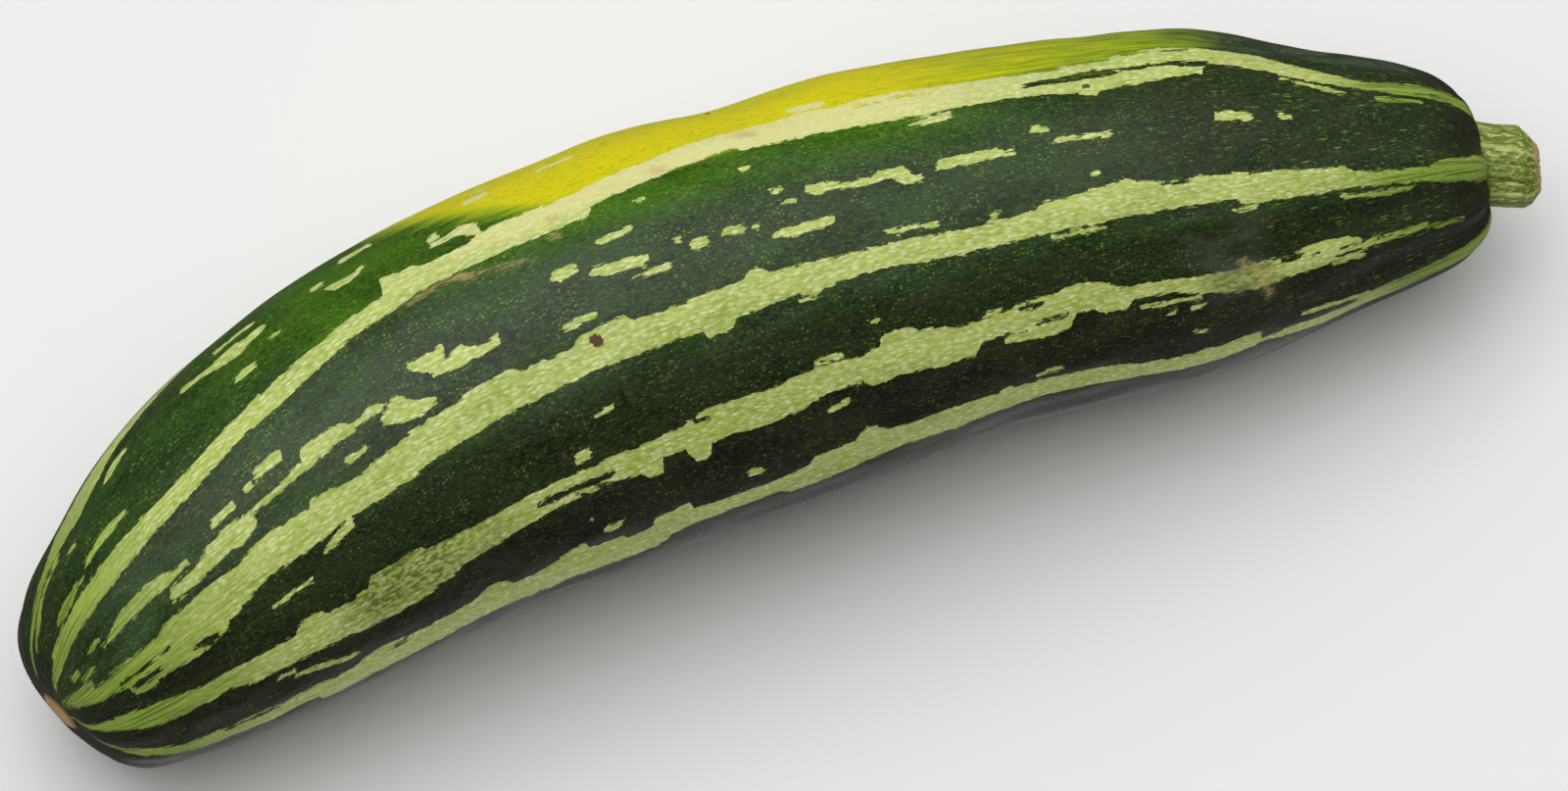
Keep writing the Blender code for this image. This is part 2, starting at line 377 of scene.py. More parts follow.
@dataclass(frozen=True)
class FruitForm:
    """Sizes of the fruit, as in the part's source: metres and radians, unless a name says something else."""

    length: float = 296 * MM
    stem_heading: float = math.radians(-9.8)
    turn: float = math.radians(36.2)
    turn_power: float = 2.3
    blossom_point: tuple[float, float] = (-149.5 * MM, -23.5 * MM)
    belly_radius: float = 39.2 * MM
    belly_distance: float = 134 * MM
    cap_length: float = 187 * MM
    cap_power: float = 3.1
    taper_share: float = 0.322
    taper_power: float = 1.6
    shoulder_length: float = 65 * MM
    shoulder_rise: float = 1.25
    shoulder_round: float = 5.4
    underside_depth: float = 0.6 * MM
    drop_per_metre: float = 0.66
    dimple_radius: float = 13 * MM
    dimple_depth: float = 0.9 * MM
    scar_radius: float = 4.4 * MM
    scar_height: float = 0.8 * MM
    scar_shift: float = 1.2 * MM
    scar_shift_radius: float = 18 * MM
    tip_lean: float = 0.045
    tip_length: float = 45 * MM
    rim_radius: float = 10.6 * MM
    socket_mouth_radius: float = 9.2 * MM
    socket_floor_radius: float = 8.8 * MM
    socket_depth: float = 3.4 * MM
    socket_shift: float = 1.2 * MM
    socket_shift_radius: float = 12 * MM
    rib_count: int = 6
    rib_angle: float = math.radians(5)
    rib_height: float = 0.006
    pucker_height: float = 0.02
    pucker_length: float = 30 * MM
    creases_deg: tuple[float, ...] = (-160, -124, -86, -48, 9, 43, 68, 104, 142)
    crease_width_deg: float = 9
    crease_start: float = 201 * MM
    crease_length: float = 89 * MM
    crease_depth: float = 0.06
    lobe_rise: float = 0.35
    crease_push: float = 1 * MM
    crease_push_start: float = 280 * MM
    crease_push_length: float = 14 * MM
    line_steps: int = 296
    rim_steps: int = 40000
    body_points: int = 3000
    body_first_share: float = 0.3
    scar_points: int = 300
    scar_edge_start: float = 0.75
    scar_edge_width: float = 0.4
    socket_flat_share: float = 0.6
    socket_mouth_rise: float = 0.72
    socket_edge_rise: float = 0.97

    def line(self, distance: Array) -> tuple[Array, Array, Array]:
        """The bent line of the fruit.

        Args:
            distance: Distances along it.

        Returns:
            X, Y and heading there.
        """
        steps = np.linspace(0, self.length, self.line_steps + 1)
        middles = (steps[1:] + steps[:-1]) / 2
        turns = self.heading(middles)
        x = self.blossom_point[0] + np.concatenate([[0], np.cumsum(np.cos(turns) * np.diff(steps))])
        y = self.blossom_point[1] + np.concatenate([[0], np.cumsum(np.sin(turns) * np.diff(steps))])
        return np.interp(distance, steps, x), np.interp(distance, steps, y), self.heading(distance)

    def heading(self, distance: Array) -> Array:
        """Direction of the fruit's line, as an angle from +X."""
        left = np.clip(1 - distance / self.length, 0, None)
        return self.stem_heading + self.turn * left**self.turn_power

    def taper(self, distance: Array) -> Array:
        """Share of the belly's radius that is left towards the stem."""
        past = np.clip((distance - self.belly_distance) / (self.length - self.belly_distance), 0, None)
        return 1 - self.taper_share * past**self.taper_power

    def line_height(self, distance: Array) -> Array:
        """Height of the fruit's line over the floor.

        Args:
            distance: Distances along it.

        Returns:
            The height there.
        """
        before = np.clip(self.belly_distance - distance, 0, None)
        lifted = self.belly_radius * self.taper(distance) - self.underside_depth
        return lifted - self.drop_per_metre * before**2

    def girth(self, distance: Array) -> Array:
        """Radius of the fruit before its ribs and swells.

        Args:
            distance: Distances along its line.

        Returns:
            The radius there.
        """
        to_cap = np.clip(1 - distance / self.cap_length, 0, 1)
        cap = (1 - to_cap**self.cap_power) ** (1 / self.cap_power)
        past = np.clip(1 - (self.length - distance) / self.shoulder_length, 0, 1)
        shoulder = (1 - past**self.shoulder_rise) ** (1 / self.shoulder_round)
        return self.belly_radius * cap * self.taper(distance) * shoulder

    def cap_distance(self, radius: Array) -> Array:
        """Distance at which the blossom cap reaches a radius."""
        share = 1 - (radius / self.belly_radius) ** self.cap_power
        return self.cap_length * (1 - share ** (1 / self.cap_power))

    def rim_distance(self) -> float:
        """Distance at which the shoulder has come in to the rim of the socket."""
        distance = np.linspace(self.length - self.shoulder_length / 2, self.length, self.rim_steps + 1)
        return float(distance[np.argmax(self.girth(distance) <= self.rim_radius)])

    def profile(self) -> Array:
        """The turned profile, finely stepped.

        Returns:
            Points (radius, distance) from the socket's floor to the middle of the scar.
        """
        rim = self.rim_distance()
        floor = rim - self.socket_depth
        edge = (self.socket_mouth_radius + self.rim_radius) / 2
        socket = [
            (0, floor),
            (self.socket_flat_share * self.socket_floor_radius, floor),
            (self.socket_floor_radius, floor),
            (self.socket_mouth_radius, floor + self.socket_mouth_rise * self.socket_depth),
            (edge, floor + self.socket_edge_rise * self.socket_depth),
        ]
        ahead = np.linspace(0, 1, self.body_points)
        distance = rim + (self.cap_distance(self.dimple_radius) - rim) * np.sin(ahead * math.pi / 2)
        first = self.body_first_share
        start = distance[round(first * self.body_points)]
        distance = np.where(ahead < first, rim - (rim - start) * (ahead / first) ** 2, distance)
        distance = np.sort(distance)[::-1]
        body = np.stack([self.girth(distance), distance], axis=1)
        share = np.linspace(1, 0, self.scar_points)[1:]
        radius = share * self.dimple_radius
        dimple = self.dimple_depth * (1 - smooth(share))
        to_edge = (radius / self.scar_radius - self.scar_edge_start) / self.scar_edge_width
        scar = self.scar_height * (1 - smooth(to_edge))
        blossom = np.stack([radius, self.cap_distance(radius) + dimple - scar], axis=1)
        return np.concatenate([np.array(socket), body, blossom])

    def crease_share(self, angle_deg: Array) -> Array:
        """1 in the middle of a crease of the shoulder, and 0 away from all of them."""
        turned_by = [round_trip(angle_deg, side) / self.crease_width_deg for side in self.creases_deg]
        return sum(np.exp(-(t**2)) for t in turned_by)

    def rib_share(self, distance: Array, angle: Array) -> Array:
        """Share of the radius by which ribs, puckers and creases raise or sink the skin.

        Args:
            distance: Distances along the fruit's line.
            angle: Angles round it, in radians.

        Returns:
            The share, above 0 where the skin is raised.
        """
        rib = self.rib_height * np.cos(self.rib_count * (angle - self.rib_angle))
        to_scar = smooth(1 - distance / self.pucker_length) ** 2
        pucker = self.pucker_height * to_scar * np.cos(2 * self.rib_count * angle)
        to_shoulder = smooth((distance - self.crease_start) / self.crease_length) ** 2
        crease = self.crease_depth * to_shoulder * (self.lobe_rise - self.crease_share(np.degrees(angle)))
        return rib + pucker + crease


# Swells and dents of the skin: distance in mm, angle in degrees, height, reach along, reach round
SWELLS: tuple[tuple[float, ...], ...] = (
    (20, -75, -1.6, 9, 30),
    (75, -70, 0.5, 16, 30),
    (125, -68, -0.5, 10, 30),
    (156, -66, -1.6, 10, 30),
    (212, -65, 0.6, 14, 30),
    (244, -65, 1.2, 9, 28),
    (270, -64, -1.6, 9, 30),
    (285, -60, -0.8, 6, 30),
    (20, 105, -0.4, 9, 30),
    (112, 108, 1.0, 10, 30),
    (150, 108, 1.0, 13, 30),
    (197, 108, -1.1, 12, 30),
    (236, 108, 0.3, 9, 30),
    (268, 108, -0.9, 9, 30),
    (291, 100, 0.5, 5, 30),
)


# The marks of the skin

# Depths inside the marks are kept within this reach
REACH_MM = 1.6

# The grain is laid out as if the fruit were this thick all along, so it keeps its size at the ends
TEXTURE_RADIUS_MM = 35


class Mark(Enum):
    """What a patch does to the skin's pattern."""

    PALE = "pale"
    GAP = "gap"


@dataclass(frozen=True)
class Patch:
    """One pale mark, or one dark gap in a pale mark.

    Attributes:
        top: Its upper edge, as (distance in mm, angle in degrees).
        bottom: Its lower edge, the same way.
        kind: Whether it is pale or a gap.
    """

    top: tuple[Span, ...]
    bottom: tuple[Span, ...]
    kind: Mark = Mark.PALE

    def depth_mm(self, distance_mm: Array, angle_deg: Array, radius_mm: Array) -> Array:
        """How far inside the patch each place is, and below 0 outside it.

        Args:
            distance_mm: Distances along the fruit.
            angle_deg: Angles round it.
            radius_mm: The fruit's radius there.

        Returns:
            The depth in mm, kept between -REACH_MM and REACH_MM.
        """
        top = np.interp(distance_mm, *np.array(self.top).T)
        bottom = np.interp(distance_mm, *np.array(self.bottom).T)
        middle = (top + bottom) / 2
        across = (bottom - top) / 2 - np.abs(round_trip(angle_deg, middle))
        start = max(self.top[0][0], self.bottom[0][0])
        end = min(self.top[-1][0], self.bottom[-1][0])
        along = np.minimum(distance_mm - start, end - distance_mm)
        depth = np.minimum(np.radians(across) * radius_mm, along)
        return np.clip(depth, -REACH_MM, REACH_MM)


def dash(*stations: Station, kind: Mark = Mark.PALE) -> Patch:
    """A small patch from its stations: distance in mm, upper angle and lower angle in degrees."""
    return Patch(tuple((s, a) for s, a, _ in stations), tuple((s, b) for s, _, b in stations), kind)


def gap(*stations: Station) -> Patch:
    """A small dark gap from its stations."""
    return dash(*stations, kind=Mark.GAP)


# The stripe that runs into the ground spot
STRIPE_Z = (
    dash((1, -43, -38), (4, -46, -41), (8, -48.5, -43), (12, -50, -45), (16, -54, -46), (19, -60, -46),
         (24, -62, -46), (30, -62.5, -49), (36, -63.5, -53), (44, -65, -57), (50, -67, -60),
         (60, -71, -64.5), (75, -79, -70), (80, -80.5, -70), (81, -82.5, -72.5), (92, -84, -73),
         (98, -83, -74.5), (99, -86, -74.5), (110, -87, -75), (118, -85.5, -76.5), (124, -86, -74),
         (131, -84.5, -75), (132, -88, -76), (143, -87, -78), (152, -85, -76.5), (158, -86, -73.5),
         (166, -84, -74), (167, -86.5, -75), (178, -85, -77), (186, -83, -75.5), (196, -84, -73),
         (204, -82, -74), (205, -85, -74), (216, -84, -75.5), (226, -81, -73), (238, -82, -71.5),
         (247, -79.5, -72), (262, -80, -70), (280, -78, -69), (296, -76, -66)),
    dash((3, -33, -30.5), (5, -38, -32.5), (7, -40.5, -34), (9, -42.5, -38), (12, -43.5, -40),
         (14, -44.5, -40.5), (16.5, -45.5, -42)),
    gap((9.5, -43.5, -42.5), (11, -44, -42), (14, -44, -42.3)),
    dash((30.3, -44, -42), (32, -45.5, -42), (34, -47, -43), (36.8, -46.5, -44.5)),
    dash((17.3, -37.5, -35), (19.6, -37.5, -35)),
    dash((7.8, -20.5, -18.5), (9.5, -22, -18.2), (12, -22.2, -18), (14.5, -21.5, -18.8),
         (16.5, -20.2, -19)),
    dash((18, -23.5, -21.5), (21, -25, -22), (24, -26.8, -22), (27, -25.2, -22.3), (29.2, -23.8, -21.8)),
    dash((49.6, -47, -43.5), (52, -46.5, -43.5), (54, -46, -43), (56, -45.5, -41.5), (58, -46, -40.5),
         (60, -46.5, -40), (62, -46.5, -40), (63.5, -45, -41), (65.5, -45.5, -41.5), (67.6, -45, -42.8)),
    dash((58, -53, -50.3), (66.8, -52.5, -50)),
    dash((84, -54, -51), (90.3, -54.3, -51.4)),
    dash((77, -46.5, -43.7), (79.6, -46.8, -43.3)),
    dash((78.9, -41.5, -39.6), (80.5, -41, -37), (83, -40.5, -37), (84.5, -40.3, -38.3), (86.7, -42, -40)),
    dash((66.5, -37.2, -35.2), (69, -37.2, -35.4)),
    dash((57.3, -31.8, -29.2), (61.9, -31.5, -28.8)),
    dash((98.2, -38.8, -36.2), (100.5, -39, -36.2)),
    dash((98.2, -35, -33), (102, -35.2, -33), (103.2, -36.5, -32.5), (105, -36.5, -30.5),
         (107, -34.5, -28)),
    dash((107.5, -48.5, -45), (112, -48.5, -45.5)),
    dash((109.5, -55, -52.5), (112.3, -54, -51)),
    dash((121, -50, -48), (125, -50.5, -48.2), (128.5, -50.5, -48.5)),
    dash((166, -38, -36), (168, -38.7, -35.3), (171, -38, -34.8), (173.3, -37.5, -35.6)),
)

# The long stripe beside the ground spot
STRIPE_A = (
    Patch(
        top=((1, -9), (2.9, -14), (5, -18.5), (7, -17), (10, -16), (20, -15.5), (30, -15), (40, -14.5),
             (43, -15), (48, -16.5), (54, -18), (60, -19.5), (67, -21), (74, -22), (80, -23.6), (84, -24),
             (86.5, -24.3), (87, -31), (88.5, -31.6), (90.5, -31), (91, -30.2), (93, -30.4), (94.5, -28.5),
             (97, -27), (101, -27.4), (104, -28), (107, -29.5), (110, -30), (115, -29.4), (120, -28.8),
             (125, -29.2), (130, -31), (135, -31.6), (140, -32), (145, -33.5), (150, -34.3), (160, -33.8),
             (170, -34), (175, -33.2), (178, -34.2), (185, -34.5), (195, -33.5), (204, -33.8), (209, -33),
             (214, -34.5), (220, -35.2), (225, -36.2), (230, -37.8), (233, -39), (236, -39.7), (240, -39.8),
             (244, -39.5), (250, -38.5), (254, -37), (257, -34.5), (260, -32), (264, -30), (267, -27.8),
             (270, -25.8), (273, -23.6), (276, -22.6), (280, -23.6), (290, -24), (295, -25)),
        bottom=((1, -3), (2.9, -4.5), (5, -5.6), (10, -6), (18, -5.2), (25, -6), (30, -6.6), (40, -7),
                (45, -8.5), (50, -9.6), (54, -10.8), (60, -11.5), (67, -13.5), (75, -16), (80, -17.3),
                (84, -17.4), (90, -18.8), (95, -19.5), (100, -19.2), (110, -18.8), (117, -18), (124, -18),
                (125.4, -18.6), (126, -20.8), (130, -22.5), (137, -23.3), (144, -25), (150, -25.5),
                (154.5, -26.2), (155.2, -24.6), (160, -23.5), (166, -23), (175, -22.5), (185, -22),
                (190, -21.6), (200, -22.6), (210, -22), (218.5, -20.8), (220, -19), (221.6, -18.8),
                (222.5, -20.3), (227, -21.5), (230, -21.8), (235, -23), (240, -24.3), (243.3, -24.4),
                (243.9, -30.2), (247, -29), (250, -27.6), (255, -25.8), (260, -22.8), (265, -20.3),
                (270, -18.4), (275, -16.4), (280, -15.3), (290, -14.6), (295, -14.4)),
    ),
    gap((209, -28.2, -26), (214, -28.5, -26), (219, -29.3, -26), (222, -30.3, -26.4), (225.5, -30.4, -27),
        (227.5, -29.6, -28), (230, -30, -28.6), (234, -31.2, -29), (238, -31.6, -29.3), (244.5, -31, -27)),
    gap((211, -33.8, -32.4), (216, -34.6, -33), (221, -35, -33.6), (226.5, -35.8, -34.4)),
    gap((177, -31.8, -30.6), (186, -32.2, -30.9), (192.5, -31.8, -30.6)),
    gap((229, -37.5, -36.4), (235, -38.7, -37.6), (242, -38.6, -37.4)),
    dash((186, -19.8, -18.6), (190, -20.5, -18), (194.3, -20.3, -18.6)),
    dash((257.5, -22.4, -21), (263, -19.8, -17.6), (266, -18, -15), (268, -16.2, -14),
         (269.4, -15.2, -13.6)),
    dash((275, -12.5, -10), (279, -12.3, -9.3), (284.3, -12, -10.3)),
    gap((284, -18.2, -16.6), (290, -17.8, -16.4)),
)

# The row of dashes along the top
ROW_B = (
    dash((8, 4, 5.8), (11, 3.8, 5.8)),
    dash((10.5, 8, 9.6), (13, 7, 10), (15.5, 5.5, 10.2), (18, 5, 10.5), (21, 4.8, 10.6), (23.5, 5.1, 10.6),
         (25.5, 6.5, 11), (28, 8, 11), (31.3, 9, 11)),
    dash((38.4, 4.6, 6.9), (41, 4.2, 7), (44, 4.3, 6.6)),
    dash((46.8, 3.2, 5), (48.6, 3.2, 5)),
    dash((49.8, 1.2, 3.6), (51, 0.4, 3.9), (55.8, 0.3, 3.6)),
    dash((24.6, 14.6, 16.8), (26, 12.4, 17.5), (29, 13, 17.8), (32, 12.8, 17.6), (34, 12, 17),
         (35.5, 10.5, 16.6), (38, 10, 16), (40, 9.4, 17), (42, 9.2, 17), (44, 10.2, 16), (45.4, 11, 14.6)),
    dash((45, 10, 11.8), (50, 9.8, 11.4), (54, 9.2, 11), (56, 7.8, 10.6), (58.4, 7.4, 10.5),
         (59, 4.4, 10.3), (62, 3.9, 9.8), (65, 3.9, 9), (67.5, 4.4, 8.9), (69, 5.8, 8.6), (71, 6.2, 8.2),
         (74, 5, 7.8), (76.6, 6.6, 8)),
    dash((74.4, 10, 12), (76, 8.4, 13), (77.5, 6.4, 14), (79, 6.2, 14.5), (81, 9, 14.8), (82.5, 11, 14.7),
         (84, 11.5, 14.4), (85.2, 12.4, 13.8)),
    dash((64.8, 14.3, 16), (69.6, 14, 15.6)),
    dash((83.4, -1, 0.8), (84.5, -0.5, 3.6), (86, 0, 4.8), (87.5, 0, 5.1), (89, -0.1, 5.2),
         (90.8, -0.8, 1.8)),
    dash((86.8, 5.4, 7.2), (89.5, 4.4, 7.6), (91.5, 3.4, 7.8), (92.5, 2, 7.9), (94.4, 2, 7.9),
         (95, 4.4, 7.8), (97.5, 5.2, 7.6), (100.5, 4.7, 7)),
    dash((114, -4.4, -3), (115.2, -5.6, -1.8), (118.9, -5.2, -2.4)),
    dash((124, -9.2, -7.6), (128, -9.8, -7.8), (131.4, -10, -8.6)),
    dash((120.7, -1.6, -0.2), (122, -1.9, 1), (124, -1.6, 2), (127, -1.1, 2.3), (130, -0.6, 2.4),
         (132, 0, 2)),
    dash((127.6, 4.6, 5.8), (131, 4.2, 6.1), (135.2, 4.3, 6)),
    dash((111.8, 10, 11.6), (115, 9.4, 11.5), (119, 9.5, 11.2)),
    dash((139.8, 1, 3.4), (141, 0.5, 3.9), (143.2, 0.8, 3.6)),
    dash((137.2, -1.8, 0), (138.8, -1.6, 0.2)),
    dash((146.2, 0.4, 1.8), (148, 0.1, 2.5), (150.7, 0.6, 2.8)),
    dash((151.8, 1.6, 3), (153.2, 1.6, 3)),
    dash((157.4, -8, -6), (159.6, -7.6, -5.4)),
    dash((158.6, -3.4, -1.9), (161.4, -3.2, -1.6)),
    dash((154.8, 5.2, 6.6), (156.5, 4.7, 7.1), (159, 5, 7.9), (161.5, 4.8, 7.4), (164, 5.2, 7.6),
         (165.5, 4.6, 7.4), (166.8, 5.2, 6.8)),
    dash((163.4, -6, -3.6), (166, -5.8, -2.4), (168.5, -5.4, -2.2), (170, -4.2, -1.9), (173, -3.4, -1.6),
         (175.5, -3.5, -1.6), (177.5, -5, -1.7), (180, -4.8, -1.7), (181, -4.9, 1), (182.8, -5.2, 1.4),
         (183.4, -1.2, 1.3), (185.2, -0.8, 0.8)),
    dash((188.2, -2.8, -1.2), (189.5, -4.5, -1.4), (192, -4.6, -1.2), (195, -4.3, -1.2), (198, -5, -1.2),
         (200, -5.3, -1.5), (201, -3.6, -1.5), (203.4, -3, -1.6)),
    dash((175, 12.5, 13.9), (178, 12.8, 14.4), (182, 12.9, 14.6), (185.7, 13.3, 14.9)),
    dash((195.4, 14.3, 16.1), (197.8, 14.5, 16)),
    dash((207.3, -9.6, -8), (209, -9.9, -7.5), (211, -8.4, -7.1)),
    dash((211, -4.8, -3.2), (213, -5.1, -3.1), (217, -4.6, -2.9), (220, -4.4, -2.7), (222.5, -4.2, -2.9)),
    dash((242.4, -7, -3.8), (245, -6.9, -3.2), (247.5, -6, -2.5), (249.8, -5, -2.7)),
    dash((254.6, -5.4, -3.4), (256, -4.4, -2.2), (257.2, -3.8, -2.2)),
    dash((216.1, 8.2, 9.9), (217.8, 8.1, 9.6)),
    dash((153.5, -18.3, -16.2), (155.6, -18, -16.4)),
    dash((133.5, -18.2, -16.8), (136, -18, -16.5)),
    dash((3.5, 4.6, 8), (5, 5, 8)),
    dash((4.5, 11, 13.6), (7.4, 11, 13.2)),
)

# The long stripe in the middle of the visible side
STRIPE_C = (
    Patch(
        top=((0.8, 10), (2.4, 14), (4, 17), (5.4, 20.4), (8, 21), (12, 21.8), (19, 22.6), (20, 21.4),
             (24, 21), (30, 21.2), (38, 21.5), (40, 20.8), (43, 19.7), (46, 19.4), (50, 20), (54.5, 21),
             (55.4, 19), (60, 18.8), (61, 20), (66, 20.5), (70, 19.3), (75, 18.7), (78, 17.4), (84, 16.5),
             (89, 16.8), (90.6, 14.9), (100.6, 14.6), (101.6, 16.6), (113, 16.6), (113.8, 14.5), (118, 14),
             (121, 13.5), (124, 14), (124.6, 15.8), (130, 16.4), (137, 16), (144, 15.5), (147.5, 15.2),
             (148, 13.5), (150.8, 13.4), (151.4, 15.5), (158, 15.8), (165, 16.4), (176, 16.5), (190, 17.4),
             (200, 16.8), (204.6, 16.2), (205.4, 14.6), (210, 14.4), (215, 13.4), (218.8, 12.7),
             (223, 12.3), (224.8, 13.4), (228, 14.4), (235, 15), (241, 15.1), (248, 16.2), (256, 17.2),
             (262, 18.4), (265, 18.8), (266.5, 21), (270, 22.4), (280, 23.6), (282.5, 23.4), (283.4, 21.8),
             (289, 21.6), (293, 20), (296, 18)),
        bottom=((0.8, 22), (2.4, 26), (5, 29.4), (8, 30.6), (9, 31), (9.6, 38), (13, 39.4), (15, 37.6),
                (18, 38), (22, 39.2), (26, 38.6), (29.4, 38), (30.4, 35.6), (33, 34.6), (36, 33.8),
                (38, 32), (40, 31), (50, 30.8), (60, 30), (70, 29.5), (75, 29), (78, 27.8), (86, 26.8),
                (95, 25.8), (105, 25.2), (117, 24.6), (122, 24.6), (130, 25), (136.3, 25.2), (137, 27.2),
                (140, 27.4), (142.2, 26.4), (143.6, 24.8), (150, 24), (155, 23.5), (160, 23.7), (165, 23),
                (175, 22.9), (182, 24), (190, 24.2), (200, 23.8), (210, 23.7), (220, 23.5), (235, 23.9),
                (243, 24.4), (244, 26.4), (250, 27), (260, 27.5), (266, 27.3), (270, 28.2), (277, 29.6),
                (281, 30.3), (282, 32), (286, 33.2), (290, 35), (293, 37.5), (296, 40)),
    ),
    gap((9.5, 32.4, 34), (11, 32.2, 36), (14, 32.4, 35.6), (15.8, 33.4, 35)),
    gap((22.3, 35.4, 37), (25, 35, 37.6), (28.2, 35.4, 37.2)),
    gap((8.8, 27.4, 28.8), (13, 28.2, 29.7), (19.4, 28.9, 30.2)),
    dash((52.6, 33.4, 35), (55, 32.8, 34.9), (57, 31.4, 34), (59, 30, 33.3), (60.8, 28.5, 32.8)),
    dash((156, 24.4, 25.6), (160.4, 24, 25.4)),
    dash((205.8, 24.4, 25.9), (210, 24.7, 26.1), (214, 24.4, 25.8), (216.5, 25.2, 26.4)),
    gap((229, 14.8, 16), (232, 14.6, 16.2), (234.4, 14.9, 15.9)),
    dash((241.6, 27.4, 28.7), (246.5, 27.2, 28.6)),
    gap((245, 15.6, 16.8), (248.5, 16, 17.2)),
    dash((263.2, 29.2, 30.8), (267, 30.2, 31.9), (270, 30.8, 32.7), (273, 31.2, 34), (276, 31.5, 34.1),
         (278.4, 31.3, 32.8)),
    dash((1.2, 10, 17), (3, 13, 20), (5.6, 15, 19.6)),
)

# The stripe below it, broken up towards the stem
STRIPE_D = (
    Patch(
        top=((0.2, 44), (1.5, 45), (3.8, 43.6), (6.3, 44.3), (7.9, 45), (9, 47), (13, 48.4), (17, 50),
             (20, 51.5), (25, 51.8), (30, 53), (40, 53.5), (41, 51.4), (42, 50.5), (46, 50.3), (47.6, 52.6),
             (50, 53.2), (54, 53), (57.4, 52), (58, 49.7), (62, 49.6), (66, 49.3), (69.6, 48.4),
             (70.8, 50.5), (75, 51), (80, 50.8), (85, 51), (89, 50.2), (93, 49.8), (105, 49.6), (117, 49.2),
             (125, 48.5), (130, 47.6), (130.6, 45.9), (134, 45.7), (137, 46.3), (142, 46.5), (147, 46.2),
             (151, 45.3), (155, 44.7), (160, 44.6), (165, 45.2), (168.8, 44.2), (169.5, 41), (175.6, 40.6),
             (176.4, 42.6), (182, 43.5), (184, 45), (190, 44.7), (194, 44.2), (197, 42.8), (204, 42.2),
             (208, 40.8), (210.4, 41), (213.8, 42), (216, 43.3), (217, 45.2), (222, 45.5), (227, 46),
             (233, 47.4), (240, 48), (250, 48.4), (253, 48), (255.4, 47), (259.6, 46.5), (263, 47.5),
             (266, 49)),
        bottom=((0.2, 53), (1.5, 52), (3.8, 53.8), (7, 57), (10, 58.8), (20, 59.5), (25.4, 59.8),
                (26.2, 62), (30, 62.8), (40, 63.3), (45, 63.8), (49, 64.6), (54, 65.6), (60, 66.3),
                (64, 66.3), (67, 65.5), (70.5, 64), (74, 63.4), (75.4, 61.4), (80, 60.4), (84, 60),
                (88, 59), (96, 57.6), (105, 56.8), (111, 56.4), (114, 57.2), (116.7, 57.6), (117.4, 59.8),
                (120.6, 60), (121.5, 55), (126.6, 55), (127.4, 60.4), (130.6, 60.6), (131.4, 56),
                (136, 55.6), (140, 56.3), (145, 56.5), (148, 55.6), (151, 55.7), (153, 54.3), (155, 53.1),
                (160, 52.8), (164.4, 53), (165.2, 55), (168, 55), (172, 54.3), (180, 55.3), (184, 55),
                (187.4, 54.5), (188.2, 51.5), (192, 51.3), (198, 51.4), (198.6, 55), (205, 55.2),
                (206.8, 54.4), (207.4, 50), (212, 50.2), (213, 52.6), (218, 52.8), (219.4, 50), (227, 50.6),
                (231, 52), (234, 53.6), (238, 56), (244, 57.4), (250, 56.6), (259, 56), (260.4, 55),
                (262, 50.6), (266, 50.6)),
    ),
    gap((94.4, 53.2, 54.6), (97, 52.9, 55), (103, 52.9, 55.3), (108, 53.2, 55.2), (111.7, 52.8, 54.4)),
    gap((197, 44.4, 45.6), (199.4, 43.8, 45.9), (202, 44.2, 45.6)),
    gap((199.6, 49.4, 51), (203, 49, 50.6), (206.4, 49.2, 50.6)),
    gap((129.4, 47.8, 49), (132.6, 47.8, 49.2)),
    dash((193.2, 52.3, 54), (195.6, 51.6, 54.6), (198.5, 52, 55)),
    dash((155.8, 57.4, 59.2), (158, 56.8, 58.8), (160.6, 56.2, 57.8)),
    dash((155.4, 42.4, 43.7), (158, 42, 44), (161.2, 42.6, 44.4)),
    dash((167.8, 35.8, 37.2), (170, 35.8, 37)),
    dash((110.8, 35.6, 37.2), (113, 35.3, 37), (115.6, 35.1, 36.6)),
    dash((104.6, 44.8, 47), (106.4, 43.8, 47.4), (108.2, 44, 46.6)),
    dash((189.6, 42.8, 44.2), (193.8, 42.4, 43.8)),
    dash((220.4, 52.6, 54), (226, 53.4, 55), (232.8, 53.6, 55.2)),
    dash((230.4, 57.2, 58.9), (233.8, 57.4, 59)),
    dash((225.9, 56.8, 58.5), (227.6, 56.8, 58.4)),
    dash((259.6, 51.9, 54), (266, 51.6, 53.7), (273, 51.8, 53.8), (279.6, 52.2, 54.3), (282, 53.6, 56.2),
         (285, 54.8, 57.3), (288.4, 55.6, 57.6)),
    dash((259.8, 54.8, 57.4), (263, 54.6, 58), (266.8, 55.4, 57.8)),
    dash((265.4, 50.4, 51.8), (272, 50.6, 52.1), (280.2, 51, 52.6)),
    gap((249.8, 49.4, 50.6), (253, 49.2, 50.6), (257.6, 49.6, 50.9)),
    dash((38.9, 39.7, 40.9), (48.5, 39.5, 40.7)),
)

